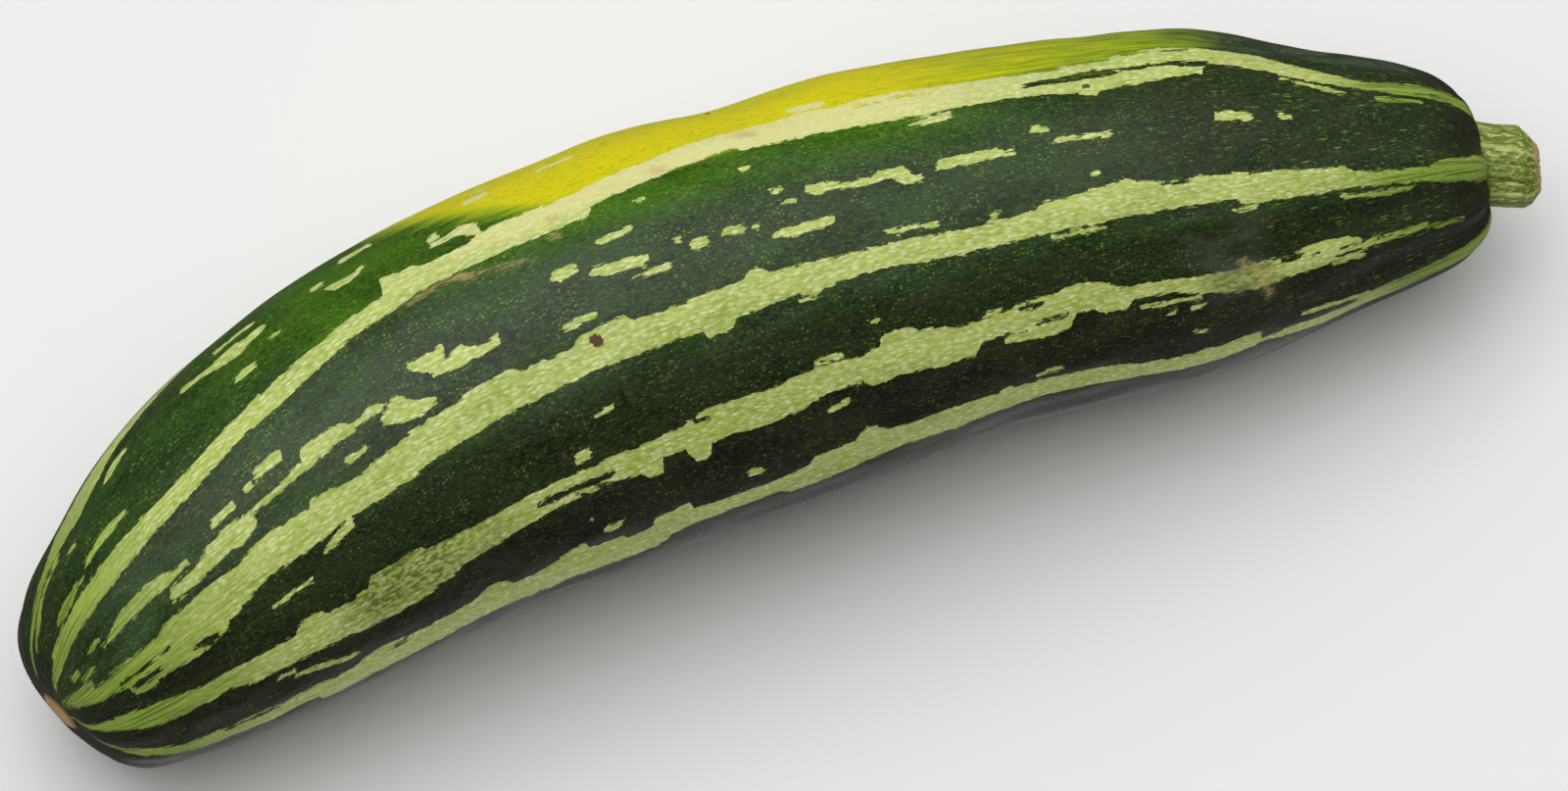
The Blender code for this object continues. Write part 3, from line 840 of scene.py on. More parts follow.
# The stripe at the inner side
STRIPE_E = (
    Patch(
        top=((1, 70), (3, 75), (5, 76.4), (9, 78.8), (13, 80), (20, 80.7), (30, 80.5), (40, 80), (45, 81.2),
             (49.6, 80.4), (50.6, 79), (54.6, 78), (58.6, 78.8), (60.4, 80), (64, 79.7), (70, 79.7),
             (75, 78.5), (77, 77), (79, 75), (82, 74.5), (84, 76), (84.8, 78.7), (90, 78.8), (94, 77.7),
             (96.3, 76), (99, 74.2), (101.4, 73.5), (102, 77), (105, 77.7), (109.4, 78), (110, 79.8),
             (114, 79.7), (116.4, 78.5), (117, 75), (120.4, 75.2), (124.6, 74.5), (125.2, 77.5), (130, 78),
             (134, 77.7), (140, 77.8), (145, 77.2), (150, 76), (150.6, 73.6), (155, 72.6), (160.4, 72.2),
             (161, 70), (163, 68.6), (165.4, 69), (166.2, 71.6), (172, 72.7), (176, 72), (185, 71.8),
             (190.6, 72.2), (191.4, 70.6), (193.4, 70.8), (194, 72), (200, 72), (209, 73), (214, 74.5),
             (220, 76.8), (224, 78), (237, 77.9), (243.6, 78), (247, 79)),
        bottom=((1, 76), (3, 82), (5.4, 84.5), (9, 87), (13, 90), (17, 92), (30, 91.5), (35, 89.8),
                (39, 89.5), (40, 95), (44, 96), (50, 95), (60, 94.5), (67, 94), (72, 92.5), (80, 91.8),
                (87, 92), (88.8, 94.4), (90, 91.5), (92, 94), (94.6, 93.5), (96, 91.5), (106, 91.8),
                (117, 91.4), (119, 90), (119.6, 88), (126, 86.5), (135, 85), (144, 84.4), (145, 86.8),
                (150, 86.4), (156, 85.4), (162, 84.2), (170, 83), (178, 83.5), (181, 84.5), (190, 82.5),
                (200, 81.1), (210, 82.4), (219, 85), (227, 87), (240, 87.5), (247, 86)),
    ),
    gap((19.6, 81.8, 83.2), (26, 81.6, 83.2), (32.6, 81.2, 82.8)),
    gap((55.4, 80.8, 82.4), (58, 80.9, 83.2), (60.2, 81, 82.8)),
    dash((32.8, 66.2, 67.6), (34.5, 65.4, 67.9), (36.6, 66, 68)),
    dash((36, 69, 70.2), (39, 69.2, 71.2), (42, 70, 72.6), (45, 71.4, 74.2), (47.6, 72.6, 74.9),
         (50, 73.6, 75)),
    dash((106, 70.8, 73), (108, 70.2, 73.4), (110.2, 70.4, 73)),
    dash((137, 69.8, 71.6), (138.8, 69.6, 72.6), (140.6, 70.8, 73)),
    dash((103.4, 65.4, 66.6), (104.8, 65.2, 66.4)),
    dash((198.6, 68.8, 70), (201, 67.6, 69.6), (204, 68, 69.4)),
    dash((230.4, 66.8, 68.4), (233.4, 67.8, 69.6)),
    dash((253.4, 77, 79.4), (258, 77.4, 80), (263, 79, 81.8), (268, 80, 84)),
    dash((262, 88, 104), (265, 84.4, 105), (268, 81.4, 106), (274, 80.4, 106), (280, 79.8, 105),
         (288, 79.2, 104), (296, 78, 102)),
    dash((247, 82, 87), (254, 84, 92), (262, 86, 100), (268, 86, 104)),
    gap((244.6, 76, 83.6), (250, 78, 83.4), (252.6, 80, 83)),
)

VISIBLE_MARKS: tuple[Patch, ...] = STRIPE_Z + STRIPE_A + ROW_B + STRIPE_C + STRIPE_D + STRIPE_E


@dataclass(frozen=True)
class HiddenStripe:
    """A stripe, or a row of dashes, on the underside or the far side, grown by a seeded rule.

    A pair is the least and the greatest value that the rule draws. A swing has a size in degrees and a length
    in mm. An offset is how far a step of an edge lies from the mean width.

    Attributes:
        middle_deg: The angle of its middle.
        width_deg: Its mean width.
        broken: Whether it is a row of dashes.
    """

    middle_deg: float
    width_deg: float
    broken: bool = False
    swings: tuple[Span, ...] = ((2.6, 46), (1.4, 19))
    settled_mm: float = 30
    length_mm: float = 296
    step_mm: Span = (2, 9)
    riser_mm: float = 0.7
    start_share: float = 0.55
    grown_mm: float = 24
    offsets_deg: tuple[float, ...] = (-1.5, -0.5, 0, 0.4, 1.2, 2.6)
    offset_share: Span = (0.4, 1)
    dash_start_mm: Span = (4, 12)
    dash_end_mm: float = 286
    dash_length_mm: Span = (3, 14)
    dash_shift_deg: float = 5
    dash_places: tuple[float, ...] = (0, 0.2, 0.5, 0.8, 1)
    dash_ragged: Span = (0.5, 1.2)
    dash_overlap: Span = (0.6, 1)
    dash_gap_mm: Span = (2, 9)

    def patches(self, draw: np.random.Generator) -> list[Patch]:
        """The stripe's patches.

        Args:
            draw: The random numbers.

        Returns:
            One long patch with stepped edges, or a row of dashes.
        """
        wave = draw.uniform(0, 2 * math.pi, 3)
        if self.broken:
            return self._dashes(draw, wave)
        return [Patch(self._edge(draw, wave, -1), self._edge(draw, wave, 1))]

    def _middle(self, distance_mm: float, wave: Array) -> float:
        """Angle of the stripe's middle at a distance."""
        swung = sum(size * math.sin(distance_mm / mm + start) for (size, mm), start in zip(self.swings, wave))
        return self.middle_deg + swung * smooth(distance_mm / self.settled_mm).item()

    def _edge(self, draw: np.random.Generator, wave: Array, side: int) -> tuple[Span, ...]:
        """One edge of the long patch.

        Args:
            draw: The random numbers.
            wave: Where the swings start.
            side: -1 for the upper edge and 1 for the lower one.

        Returns:
            The edge, as (distance in mm, angle in degrees).
        """
        edge = []
        distance, offset = 1.0, self.width_deg / 2
        while distance < self.length_mm:
            step = draw.uniform(*self.step_mm)
            for place in (distance, min(distance + step - self.riser_mm, self.length_mm)):
                grown = self.start_share + (1 - self.start_share) * smooth(place / self.grown_mm).item()
                edge.append((place, self._middle(place, wave) + side * offset * grown))
            distance += step
            offset = self.width_deg / 2 + draw.choice(self.offsets_deg) * draw.uniform(*self.offset_share)
        return tuple(edge)

    def _dashes(self, draw: np.random.Generator, wave: Array) -> list[Patch]:
        """A row of dashes along the stripe's middle.

        Args:
            draw: The random numbers.
            wave: Where the swings start.

        Returns:
            The dashes.
        """
        found = []
        distance = draw.uniform(*self.dash_start_mm)
        while distance < self.dash_end_mm:
            length = draw.uniform(*self.dash_length_mm)
            shift = draw.uniform(-self.dash_shift_deg, self.dash_shift_deg)
            half = draw.uniform(1, self.width_deg / 2)
            middle = self._middle(distance, wave) + shift
            stations = [
                (
                    distance + place * length,
                    middle - half * draw.uniform(*self.dash_ragged),
                    middle + half * draw.uniform(*self.dash_ragged),
                )
                for place in self.dash_places
            ]
            found.append(dash(*stations))
            distance += length * draw.uniform(*self.dash_overlap) + draw.uniform(*self.dash_gap_mm)
        return found


HIDDEN_STRIPES = (
    HiddenStripe(124, 8),
    HiddenStripe(140, 5, broken=True),
    HiddenStripe(156, 9),
    HiddenStripe(180, 9),
    HiddenStripe(-158, 5, broken=True),
    HiddenStripe(-138, 9),
    HiddenStripe(-112, 10),
    HiddenStripe(-97, 5, broken=True),
)


@dataclass(frozen=True)
class Blot:
    """A soft-edged spot on the skin: its middle, its reach along and round, and how it leans.

    Attributes:
        distance_mm: Distance of its middle along the fruit.
        angle_deg: Angle of its middle.
        along_mm: Reach along the fruit.
        round_mm: Reach round it.
        lean: Shift round the fruit for each mm along it.
    """

    distance_mm: float
    angle_deg: float
    along_mm: float
    round_mm: float
    lean: float = 0.0

    def depth_mm(self, distance_mm: Array, angle_deg: Array, radius_mm: Array) -> Array:
        """How far inside the spot each place is, and below 0 outside it.

        Args:
            distance_mm: Distances along the fruit.
            angle_deg: Angles round it.
            radius_mm: The fruit's radius there.

        Returns:
            The depth in mm, kept between -REACH_MM and REACH_MM.
        """
        along = distance_mm - self.distance_mm
        around = np.radians(round_trip(angle_deg, self.angle_deg)) * radius_mm - self.lean * along
        reach = min(self.along_mm, self.round_mm)
        depth = reach * (1 - np.hypot(along / self.along_mm, around / self.round_mm))
        return np.clip(depth, -REACH_MM, REACH_MM)


BROWN_SPOTS = (
    Blot(117, 17.2, 1.5, 1.3, 0.2),
    Blot(220.4, -23, 0.9, 0.9),
    Blot(103, 43, 0.9, 0.6),
    Blot(153.6, -54, 0.7, 0.9),
)

NICKS = (
    Blot(102.6, 6.4, 0.8, 2.4, 0.6),
    Blot(103, 32.8, 1.2, 0.7, -0.8),
    Blot(117.6, 33, 0.7, 1.8, -0.5),
    Blot(179, 32, 1.2, 0.4),
    Blot(183.5, 30, 0.9, 0.4),
    Blot(189, 30.6, 1.6, 0.4),
)

SCUFFS = (
    Blot(241.5, 46.4, 2.6, 0.9, 0.5),
    Blot(244.4, 49.6, 2.4, 1.5, 1.2),
    Blot(246, 54.6, 1.6, 3.0),
    Blot(246.6, 60.0, 1.4, 2.6),
    Blot(99.5, -17.3, 9, 1.2, 0.28),
    Blot(100.5, -16.4, 1.6, 1.6, 0.4),
    Blot(109, -13.4, 5, 1.1, 0.24),
    Blot(91, -17.4, 6, 1.1, 0.05),
    Blot(140, -26.4, 3, 1.6, 0.2),
    Blot(157, -31, 3.6, 1.7, 0.2),
    Blot(119.5, -22.6, 2.4, 1.4, 0.3),
    Blot(118, -16, 2, 1.3, 0.2),
)

SPOTS: dict[str, tuple[Blot, ...]] = {"brown": BROWN_SPOTS, "nicks": NICKS, "scuff": SCUFFS}


@dataclass(frozen=True)
class Zone:
    """A soft zone of the skin, between two distances and two angles.

    Attributes:
        start: Distances in mm between which it fades in.
        end: Distances between which it fades out.
        low: Angles in degrees between which it fades in.
        high: Angles between which it fades out.
        strength: How strong it is in its middle.
    """

    start: Span
    end: Span
    low: Span
    high: Span
    strength: float = 1.0

    def share(self, distance_mm: Array, angle_deg: Array) -> Array:
        """How strong the zone is at each place.

        Args:
            distance_mm: Distances along the fruit.
            angle_deg: Angles round it.

        Returns:
            The strength, and 0 outside the zone.
        """
        middle = (self.low[1] + self.high[0]) / 2
        turned_to = round_trip(angle_deg, middle) + middle
        ahead = smooth((distance_mm - self.start[0]) / (self.start[1] - self.start[0]))
        behind = 1 - smooth((distance_mm - self.end[0]) / (self.end[1] - self.end[0]))
        above = smooth((turned_to - self.low[0]) / (self.low[1] - self.low[0]))
        below = 1 - smooth((turned_to - self.high[0]) / (self.high[1] - self.high[0]))
        return self.strength * ahead * behind * above * below


# Zones by the name of the attribute that the skin's material reads
ZONES: dict[str, tuple[Zone, ...]] = {
    "creamy": (Zone((70, 130), (170, 240), (-140, -110), (-26, -16)),),
    "vivid": (
        Zone((34, 84), (90, 120), (-140, -110), (-24, -14), 0.9),
        Zone((84, 122), (182, 210), (-140, -110), (-18, -5)),
        Zone((200, 216), (232, 262), (-120, -90), (-42, -32), 0.7),
    ),
    # Darker, duller skin, mostly on the lower side: partly the skin's own tone and partly painted shade where
    # less light falls
    "deep_and_shade": (
        Zone((-20, -10), (310, 330), (40, 56), (150, 170)),
        Zone((-20, -10), (310, 330), (24, 36), (150, 170), 0.7),
        Zone((-20, -10), (20, 48), (18, 34), (150, 170)),
        Zone((-20, -10), (2, 26), (-170, -150), (-10, 10), 0.7),
        Zone((196, 240), (310, 330), (-170, -150), (20, 40), 0.55),
    ),
    # Painted sheen: a grey reflection of the bright surround, painted into the skin's colour
    "painted_sheen": (
        Zone((226, 238), (242, 252), (22, 36), (52, 66)),
        Zone((0, 6), (20, 44), (-14, 0), (14, 26), 0.5),
        Zone((240, 258), (282, 292), (-120, -100), (-44, -34)),
    ),
    "mottled": (
        Zone((44, 58), (68, 100), (44, 50), (60, 68)),
        Zone((230, 238), (246, 252), (44, 50), (60, 68), 0.8),
    ),
}

# The ground spot: distance in mm, near edge, far edge and near softness in degrees, and how yellow it is
GROUND_SPOT: tuple[tuple[float, ...], ...] = (
    (82, -62, -80, 30, 0.0),
    (98, -50, -96, 30, 0.8),
    (108, -38, -106, 26, 1.0),
    (120, -28, -113, 13, 1.05),
    (150, -27, -118, 12, 1.1),
    (170, -27, -113, 12, 0.96),
    (186, -28, -106, 13, 0.74),
    (200, -30, -98, 14, 0.62),
    (220, -31, -88, 15, 0.5),
    (234, -33, -82, 16, 0.42),
    (244, -34, -78, 18, 0.3),
    (256, -36, -72, 20, 0.0),
)
FAR_SOFTNESS_DEG = 26


@dataclass
class Pattern:
    """The marks of the skin, worked out for each vertex.

    Attributes:
        distance_mm: Distance of each vertex along the fruit.
        angle_deg: Its angle.
        radius_mm: The fruit's radius there.
        seed: Seed of the hidden side's stripes.
    """

    distance_mm: Array
    angle_deg: Array
    radius_mm: Array
    seed: int = 11

    def pale(self) -> Array:
        """The pale marks of both sides.

        Returns:
            Depth inside them in mm, and below 0 outside them.
        """
        draw = np.random.default_rng(self.seed)
        hidden = [patch for stripe in HIDDEN_STRIPES for patch in stripe.patches(draw)]
        depth = np.full(self.distance_mm.shape, -REACH_MM)
        patches = [*VISIBLE_MARKS, *hidden]
        for patch in [p for p in patches if p.kind is Mark.PALE]:
            depth = np.maximum(depth, self._field(patch))
        for patch in [p for p in patches if p.kind is Mark.GAP]:
            depth = np.minimum(depth, -self._field(patch))
        return depth

    def spots(self, blots: Iterable[Blot]) -> Array:
        """The spots of one kind.

        Args:
            blots: The spots.

        Returns:
            Depth inside any of them in mm, and below 0 outside them.
        """
        depth = np.full(self.distance_mm.shape, -REACH_MM)
        for blot in blots:
            depth = np.maximum(depth, self._field(blot))
        return depth

    def _field(self, mark: "Patch | Blot") -> Array:
        """The depth inside one mark."""
        return mark.depth_mm(self.distance_mm, self.angle_deg, self.radius_mm)

    def ground_spot(self) -> Array:
        """How yellow the skin is where it lay on the ground.

        Returns:
            About 1 where it is fully yellow, and 0 away from the spot.
        """
        stations, near, far, soft, yellow = np.array(GROUND_SPOT).T
        near_edge = np.interp(self.distance_mm, stations, near)
        far_edge = np.interp(self.distance_mm, stations, far)
        middle = (near_edge + far_edge) / 2
        inside = (near_edge - far_edge) / 2 - np.abs(round_trip(self.angle_deg, middle))
        to_near = round_trip(self.angle_deg, middle) > 0
        softness = np.where(to_near, np.interp(self.distance_mm, stations, soft), FAR_SOFTNESS_DEG)
        share = smooth(inside / softness + 0.5)
        return share * np.interp(self.distance_mm, stations, yellow)

    def zones(self, zones: Iterable[Zone]) -> Array:
        """How strong the strongest of these zones is at each vertex."""
        return np.max([zone.share(self.distance_mm, self.angle_deg) for zone in zones], axis=0)


# Finishes


@dataclass(frozen=True)
class SkinFinish:
    """Colours, grain and gloss of the skin.

    A grain's size is given in mm along the fruit and round it, a reach as two distances in mm between which
    something fades in, and an amount as the most that a colour covers.
    """

    dark_low: Colour = srgb(14, 28, 8)
    dark_high: Colour = srgb(56, 84, 33)
    vivid_low: Colour = srgb(28, 62, 2)
    vivid_high: Colour = srgb(76, 122, 6)
    # Colours of the darker zone, partly the skin's own tone and partly painted shade
    deep_and_shade_low: Colour = srgb(12, 16, 8)
    deep_and_shade_high: Colour = srgb(50, 56, 32)
    speck: Colour = srgb(126, 158, 52)
    pale_low: Colour = srgb(148, 170, 68)
    pale_high: Colour = srgb(198, 209, 112)
    pale_fleck: Colour = srgb(234, 240, 184)
    pale_streak: Colour = srgb(116, 152, 26)
    lime: Colour = srgb(126, 156, 22)
    yellow: Colour = srgb(214, 204, 0)
    yellow_fleck: Colour = srgb(170, 176, 4)
    cream: Colour = srgb(232, 226, 160)
    olive: Colour = srgb(76, 96, 14)
    scar: Colour = srgb(214, 176, 122)
    scar_dark: Colour = srgb(168, 128, 80)
    # Dark brown of the painted shadow along the raised scar's edge
    scar_edge_shadow: Colour = srgb(112, 80, 44)
    tan: Colour = srgb(192, 164, 104)
    brown: Colour = srgb(92, 64, 30)
    nick: Colour = srgb(12, 16, 8)
    # Grey of the painted sheen, a reflection painted into the skin's colour
    painted_sheen: Colour = srgb(104, 112, 100)
    # Dark brown band at the stem: partly the shoulder's own colour, partly painted shade in the hollow round
    # the stem
    collar_and_shade: Colour = srgb(34, 34, 20)

    edge_steps: Span = (1.9, 0.62)
    edge_coarse: Span = (2.6, 0.6)
    edge_fine: Span = (1.1, 0.3)
    dark_patches: Span = (16, 6)
    dark_grit: Span = (1.0, 0.36)
    specks: Span = (0.85, 0.42)
    speck_crowds: Span = (7, 4)
    dashes: Span = (2.4, 0.5)
    yellow_streaks: Span = (8, 0.8)
    yellow_grit: Span = (1.6, 0.5)
    pale_patches: Span = (20, 5)
    pale_weave: Span = (1.6, 0.3)
    pale_flecks: Span = (1.6, 0.56)
    pale_hairs: Span = (16, 0.5)
    mottles: Span = (1.5, 0.7)
    ragged: Span = (0.9, 0.7)
    painted_sheen_clouds: Span = (7, 4)
    scuff_streaks: Span = (1.5, 0.36)
    cork: Span = (0.7, 0.9)
    worn_patches: Span = (6, 3)
    lumps: Span = (3.4, 2.2)
    pores: Span = (0.8, 0.45)

    edge_width_mm: float = 0.2
    edge_ragged_mm: tuple[float, float, float] = (0.46, 0.8, 0.8)
    dashes_reach: Span = (215, 270)
    collar_and_shade_reach: Span = (282, 293)
    stem_reach: Span = (258, 284)
    blossom_reach: Span = (36, 4)
    hairs_reach: Span = (80, 24)
    matte_reach: Span = (240, 276)

    speck_amount: float = 0.78
    dash_amount: float = 0.9
    collar_and_shade_amount: float = 0.75
    fleck_amount: float = 0.8
    hair_amount: float = 0.6
    dark_hair_amount: float = 0.85
    mottle_amount: float = 0.85
    cream_amount: float = 0.7
    nick_amount: float = 0.85
    painted_sheen_amount: float = 0.32
    scuff_amount: float = 0.6
    scar_edge_shadow_amount: float = 0.7

    roughness: float = 0.34
    worn_roughness: float = 0.2
    pale_roughness: float = 0.05
    cork_roughness: float = 0.3
    stem_end_roughness: float = 0.16
    gloss: float = 0.26
    bump_strength: float = 0.5
    bump_rise: float = 0.25 * MM
    lump_height: float = 0.7
    pore_height: float = 0.22
    pale_height: float = 0.05

    def material(self) -> bpy.types.Material:
        """Builds the material.

        Returns:
            The skin's material, which reads the fruit's own attributes.
        """
        tree = GrainTree("skin")
        pale = self._pale_mask(tree)
        dark = self._dark(tree)
        light = self._light(tree)
        colour = tree.mix(pale, dark, light)
        colour, matte = self._marks(tree, colour)
        tree.put(tree.shader.inputs["Base Color"], colour)
        rough = self.roughness + (tree.grain(self.worn_patches, 3) - 0.5) * self.worn_roughness
        rough = rough + pale * self.pale_roughness + matte * self.cork_roughness
        rough = rough + tree.attribute("distance").band(*self.matte_reach) * self.stem_end_roughness
        tree.put(tree.shader.inputs["Roughness"], rough)
        tree.shader.inputs["Specular IOR Level"].default_value = self.gloss
        height = tree.grain(self.lumps, 2) * self.lump_height + tree.grain(self.pores, 2) * self.pore_height
        tree.bump(height + pale * self.pale_height, self.bump_strength, self.bump_rise)
        return tree.owner

    def _pale_mask(self, tree: GrainTree) -> Value:
        """Where the pale marks are.

        Args:
            tree: The material's tree.

        Returns:
            1 in the marks and 0 outside them, with ragged edges.
        """
        by_steps, by_coarse, by_fine = self.edge_ragged_mm
        steps = (tree.lots(self.edge_steps) - 0.5) * by_steps
        coarse = (tree.grain(self.edge_coarse, 1) - 0.5) * by_coarse
        fine = (tree.grain(self.edge_fine, 1) - 0.5) * by_fine
        edge = tree.attribute("pale") + steps + coarse + fine
        return (edge / self.edge_width_mm).math("ADD", 0.5, clamp=True)

    def _dark(self, tree: GrainTree) -> Value:
        """The dark skin, with its specks, the yellow ground spot, a darker zone mostly on the lower side and
        a darker band at the stem, both partly the skin's own colour and partly painted shade.

        Args:
            tree: The material's tree.

        Returns:
            Its colour.
        """
        broad = tree.grain(self.dark_patches, 3)
        grit = tree.grain(self.dark_grit, 3).band(0.34, 0.68)
        shade = broad.band(0.3, 0.72) * 0.4 + grit * 0.6
        base = tree.mix(shade, self.dark_low, self.dark_high)
        base = tree.mix(tree.attribute("vivid"), base, tree.mix(shade, self.vivid_low, self.vivid_high))
        # The darker zone: partly the skin's own tone, partly painted shade on the lower side
        deep_and_shade = (tree.attribute("deep_and_shade") * 1.3 + (broad - 0.5) * 1.1 - 0.15).math("ADD", 0.0, clamp=True)
        base = tree.mix(deep_and_shade, base, tree.mix(shade, self.deep_and_shade_low, self.deep_and_shade_high))
        crowds = 0.3 + 0.7 * tree.grain(self.speck_crowds, 2).band(0.38, 0.64)
        specks = tree.cells(self.specks).band(0.52, 0.2) * tree.lots(self.specks).band(0.4, 1.1)
        base = tree.mix(specks * crowds * (self.speck_amount - deep_and_shade * 0.28), base, self.speck)
        distance = tree.attribute("distance")
        dashes = tree.cells(self.dashes).band(0.5, 0.2) * tree.lots(self.dashes).band(0.8, 0.98)
        dashes = dashes * (0.2 + 0.8 * distance.band(*self.dashes_reach))
        base = tree.mix(dashes * (self.dash_amount - deep_and_shade * 0.3), base, self.speck)
        # Darker band just before the socket: partly the shoulder's own colour, partly painted shade round the
        # stem
        base = tree.mix(distance.band(*self.collar_and_shade_reach) * self.collar_and_shade_amount, base, self.collar_and_shade)
        ground = tree.attribute("yellow") + (tree.grain(self.yellow_streaks, 3) - 0.5) * 0.7
        flecks = tree.grain(self.yellow_grit, 2).band(0.5, 0.75)
        base = tree.mix(ground.band(0.08, 0.5), base, self.lime)
        return tree.mix(ground.band(0.3, 0.85), base, tree.mix(flecks, self.yellow, self.yellow_fleck))

    def _light(self, tree: GrainTree) -> Value:
        """The pale marks: a weave of lighter flecks, with green streaks towards both ends.

        Args:
            tree: The material's tree.

        Returns:
            Their colour.
        """
        broad = tree.grain(self.pale_patches, 2).band(0.3, 0.7)
        weave = tree.grain(self.pale_weave, 2).band(0.38, 0.6)
        base = tree.mix(broad * 0.35 + weave * 0.65, self.pale_low, self.pale_high)
        distance = tree.attribute("distance")
        near_stem = distance.band(*self.stem_reach)
        near_blossom = distance.band(*self.blossom_reach)
        lots = tree.lots(self.pale_flecks)
        flecks = tree.cells(self.pale_flecks).band(0.66, 0.2) * (0.25 + 0.75 * lots)
        base = tree.mix(flecks * (1 - 0.8 * near_blossom) * self.fleck_amount, base, self.pale_fleck)
        base = tree.mix(near_stem * 0.7 + near_blossom * 0.5, base, self.pale_streak)
        to_ends = 0.3 + 0.7 * (distance.band(*self.hairs_reach) + near_stem)
        hairs = tree.grain(self.pale_hairs, 1)
        base = tree.mix(hairs.band(0.5, 0.68) * to_ends * self.hair_amount, base, self.pale_streak)
        gaps = hairs.band(0.48, 0.4) * (near_stem + near_blossom)
        base = tree.mix(gaps * self.dark_hair_amount, base, self.olive)
        dim = tree.attribute("mottled") * (0.3 + 0.7 * tree.grain(self.mottles, 2).band(0.42, 0.6))
        base = tree.mix(dim * self.mottle_amount, base, self.olive)
        return tree.mix(tree.attribute("creamy") * self.cream_amount, base, self.cream)

    def _marks(self, tree: GrainTree, colour: Value) -> tuple[Value, Value]:
        """Adds nicks, a painted sheen, brown spots, scuffs and the scar.

        Args:
            tree: The material's tree.
            colour: The skin's colour so far.

        Returns:
            The colour, and where the skin is corky and matte.
        """
        ragged = (tree.grain(self.ragged, 2) - 0.5) * 1.1
        nicks = (tree.attribute("nicks") + ragged * 0.6).band(-0.1, 0.4)
        colour = tree.mix(nicks * self.nick_amount, colour, self.nick)
        # Painted sheen: grey reflection of the surround, painted into the colour in clouds
        painted_sheen = tree.attribute("painted_sheen") * tree.grain(self.painted_sheen_clouds, 3).band(0.3, 0.7)
        colour = tree.mix(painted_sheen * self.painted_sheen_amount, colour, self.painted_sheen)
        streaks = (tree.grain(self.scuff_streaks, 2) - 0.5) * 3
        scuff = (tree.attribute("scuff") + streaks).band(0.0, 1.2)
        colour = tree.mix(scuff * self.scuff_amount, colour, self.tan)
        brown = (tree.attribute("brown") + ragged * 0.9).band(-0.1, 0.3)
        colour = tree.mix(brown, colour, self.brown)
        scar_depth = tree.attribute("scar") + ragged * 1.1
        cork = tree.mix(tree.grain(self.cork, 3).band(0.35, 0.65), self.scar_dark, self.scar)
        # Painted shadow: a darker brown ring just inside the edge of the raised scar
        cork = tree.mix(scar_depth.band(1.1, 0.1) * self.scar_edge_shadow_amount, cork, self.scar_edge_shadow)
        scar = scar_depth.band(-0.25, 0.25)
        return tree.mix(scar, colour, cork), scar + scuff * 0.7 + brown * 0.3


@dataclass(frozen=True)
class StemFinish:
    """Colours, grain and gloss of the stem. A grain's size is given in mm along the stem and round it."""

    green: Colour = srgb(132, 150, 48)
    # Pale streaks of the stem, also used as painted highlight on its ridges
    streak_and_ridge_highlight: Colour = srgb(204, 210, 128)
    # Dark olive of the stem, also used as painted shade in its grooves
    dark_olive_and_groove_shade: Colour = srgb(78, 98, 16)
    cut: Colour = srgb(176, 164, 98)
    cut_edge: Colour = srgb(176, 132, 92)
    fibres: Span = (2.2, 0.6)
    speckles: Span = (1.1, 0.4)
    cut_edge_grain: Span = (0.9, 0.9)
    cut_grain: Span = (1.4, 0.8)
    fine_grain: Span = (0.9, 0.4)
    streak_amount: float = 0.85
    groove_shade_amount: float = 0.8
    ridge_highlight_amount: float = 0.6
    cut_amount: float = 0.9
    roughness: float = 0.55
    fibre_roughness: float = 0.2
    bump_strength: float = 0.7
    bump_rise: float = 0.3 * MM
    fibre_height: float = 0.6
    fine_height: float = 0.4

    def material(self) -> bpy.types.Material:
        """Builds the material.

        Returns:
            The stem's material, which reads the stem's own attributes.
        """
        tree = GrainTree("stem")
        fibre = tree.grain(self.fibres, 3, 0.6)
        speckle = tree.grain(self.speckles, 2, 0.5)
        colour = tree.mix(speckle.band(0.36, 0.62), self.dark_olive_and_groove_shade, self.green)
        colour = tree.mix(fibre.band(0.5, 0.68) * self.streak_amount, colour, self.streak_and_ridge_highlight)
        # Painted shade in the stem's grooves and painted highlight on its ridges, following its relief
        ridge = tree.attribute("ridge") + (fibre - 0.5) * 2.2
        colour = tree.mix(ridge.band(-0.5, -1.1) * self.groove_shade_amount, colour, self.dark_olive_and_groove_shade)
        colour = tree.mix(ridge.band(0.5, 1.1) * self.ridge_highlight_amount, colour, self.streak_and_ridge_highlight)
        cut = tree.attribute("cut") + (tree.grain(self.cut_edge_grain, 2) - 0.5) * 0.9
        flesh = tree.mix(tree.grain(self.cut_grain, 3).band(0.35, 0.65), self.cut, self.cut_edge)
        colour = tree.mix(cut.band(0.45, 0.85) * self.cut_amount, colour, flesh)
        tree.put(tree.shader.inputs["Base Color"], colour)
        tree.put(tree.shader.inputs["Roughness"], self.roughness + (fibre - 0.5) * self.fibre_roughness)
        height = fibre * self.fibre_height + tree.grain(self.fine_grain, 2) * self.fine_height
        tree.bump(height, self.bump_strength, self.bump_rise)
        return tree.owner


@dataclass(frozen=True)
class FloorFinish:
    """The plain pale floor."""

    colour: Colour = (0.86, 0.86, 0.86, 1.0)
    roughness: float = 0.9

    def material(self) -> bpy.types.Material:
        """Builds the material.

        Returns:
            The floor's material.
        """
        tree = Tree(bpy.data.materials.new("floor"))
        tree.put(tree.shader.inputs["Base Color"], self.colour)
        tree.put(tree.shader.inputs["Roughness"], self.roughness)
        tree.shader.inputs["Specular IOR Level"].default_value = 0.0
        return tree.owner


# The pieces


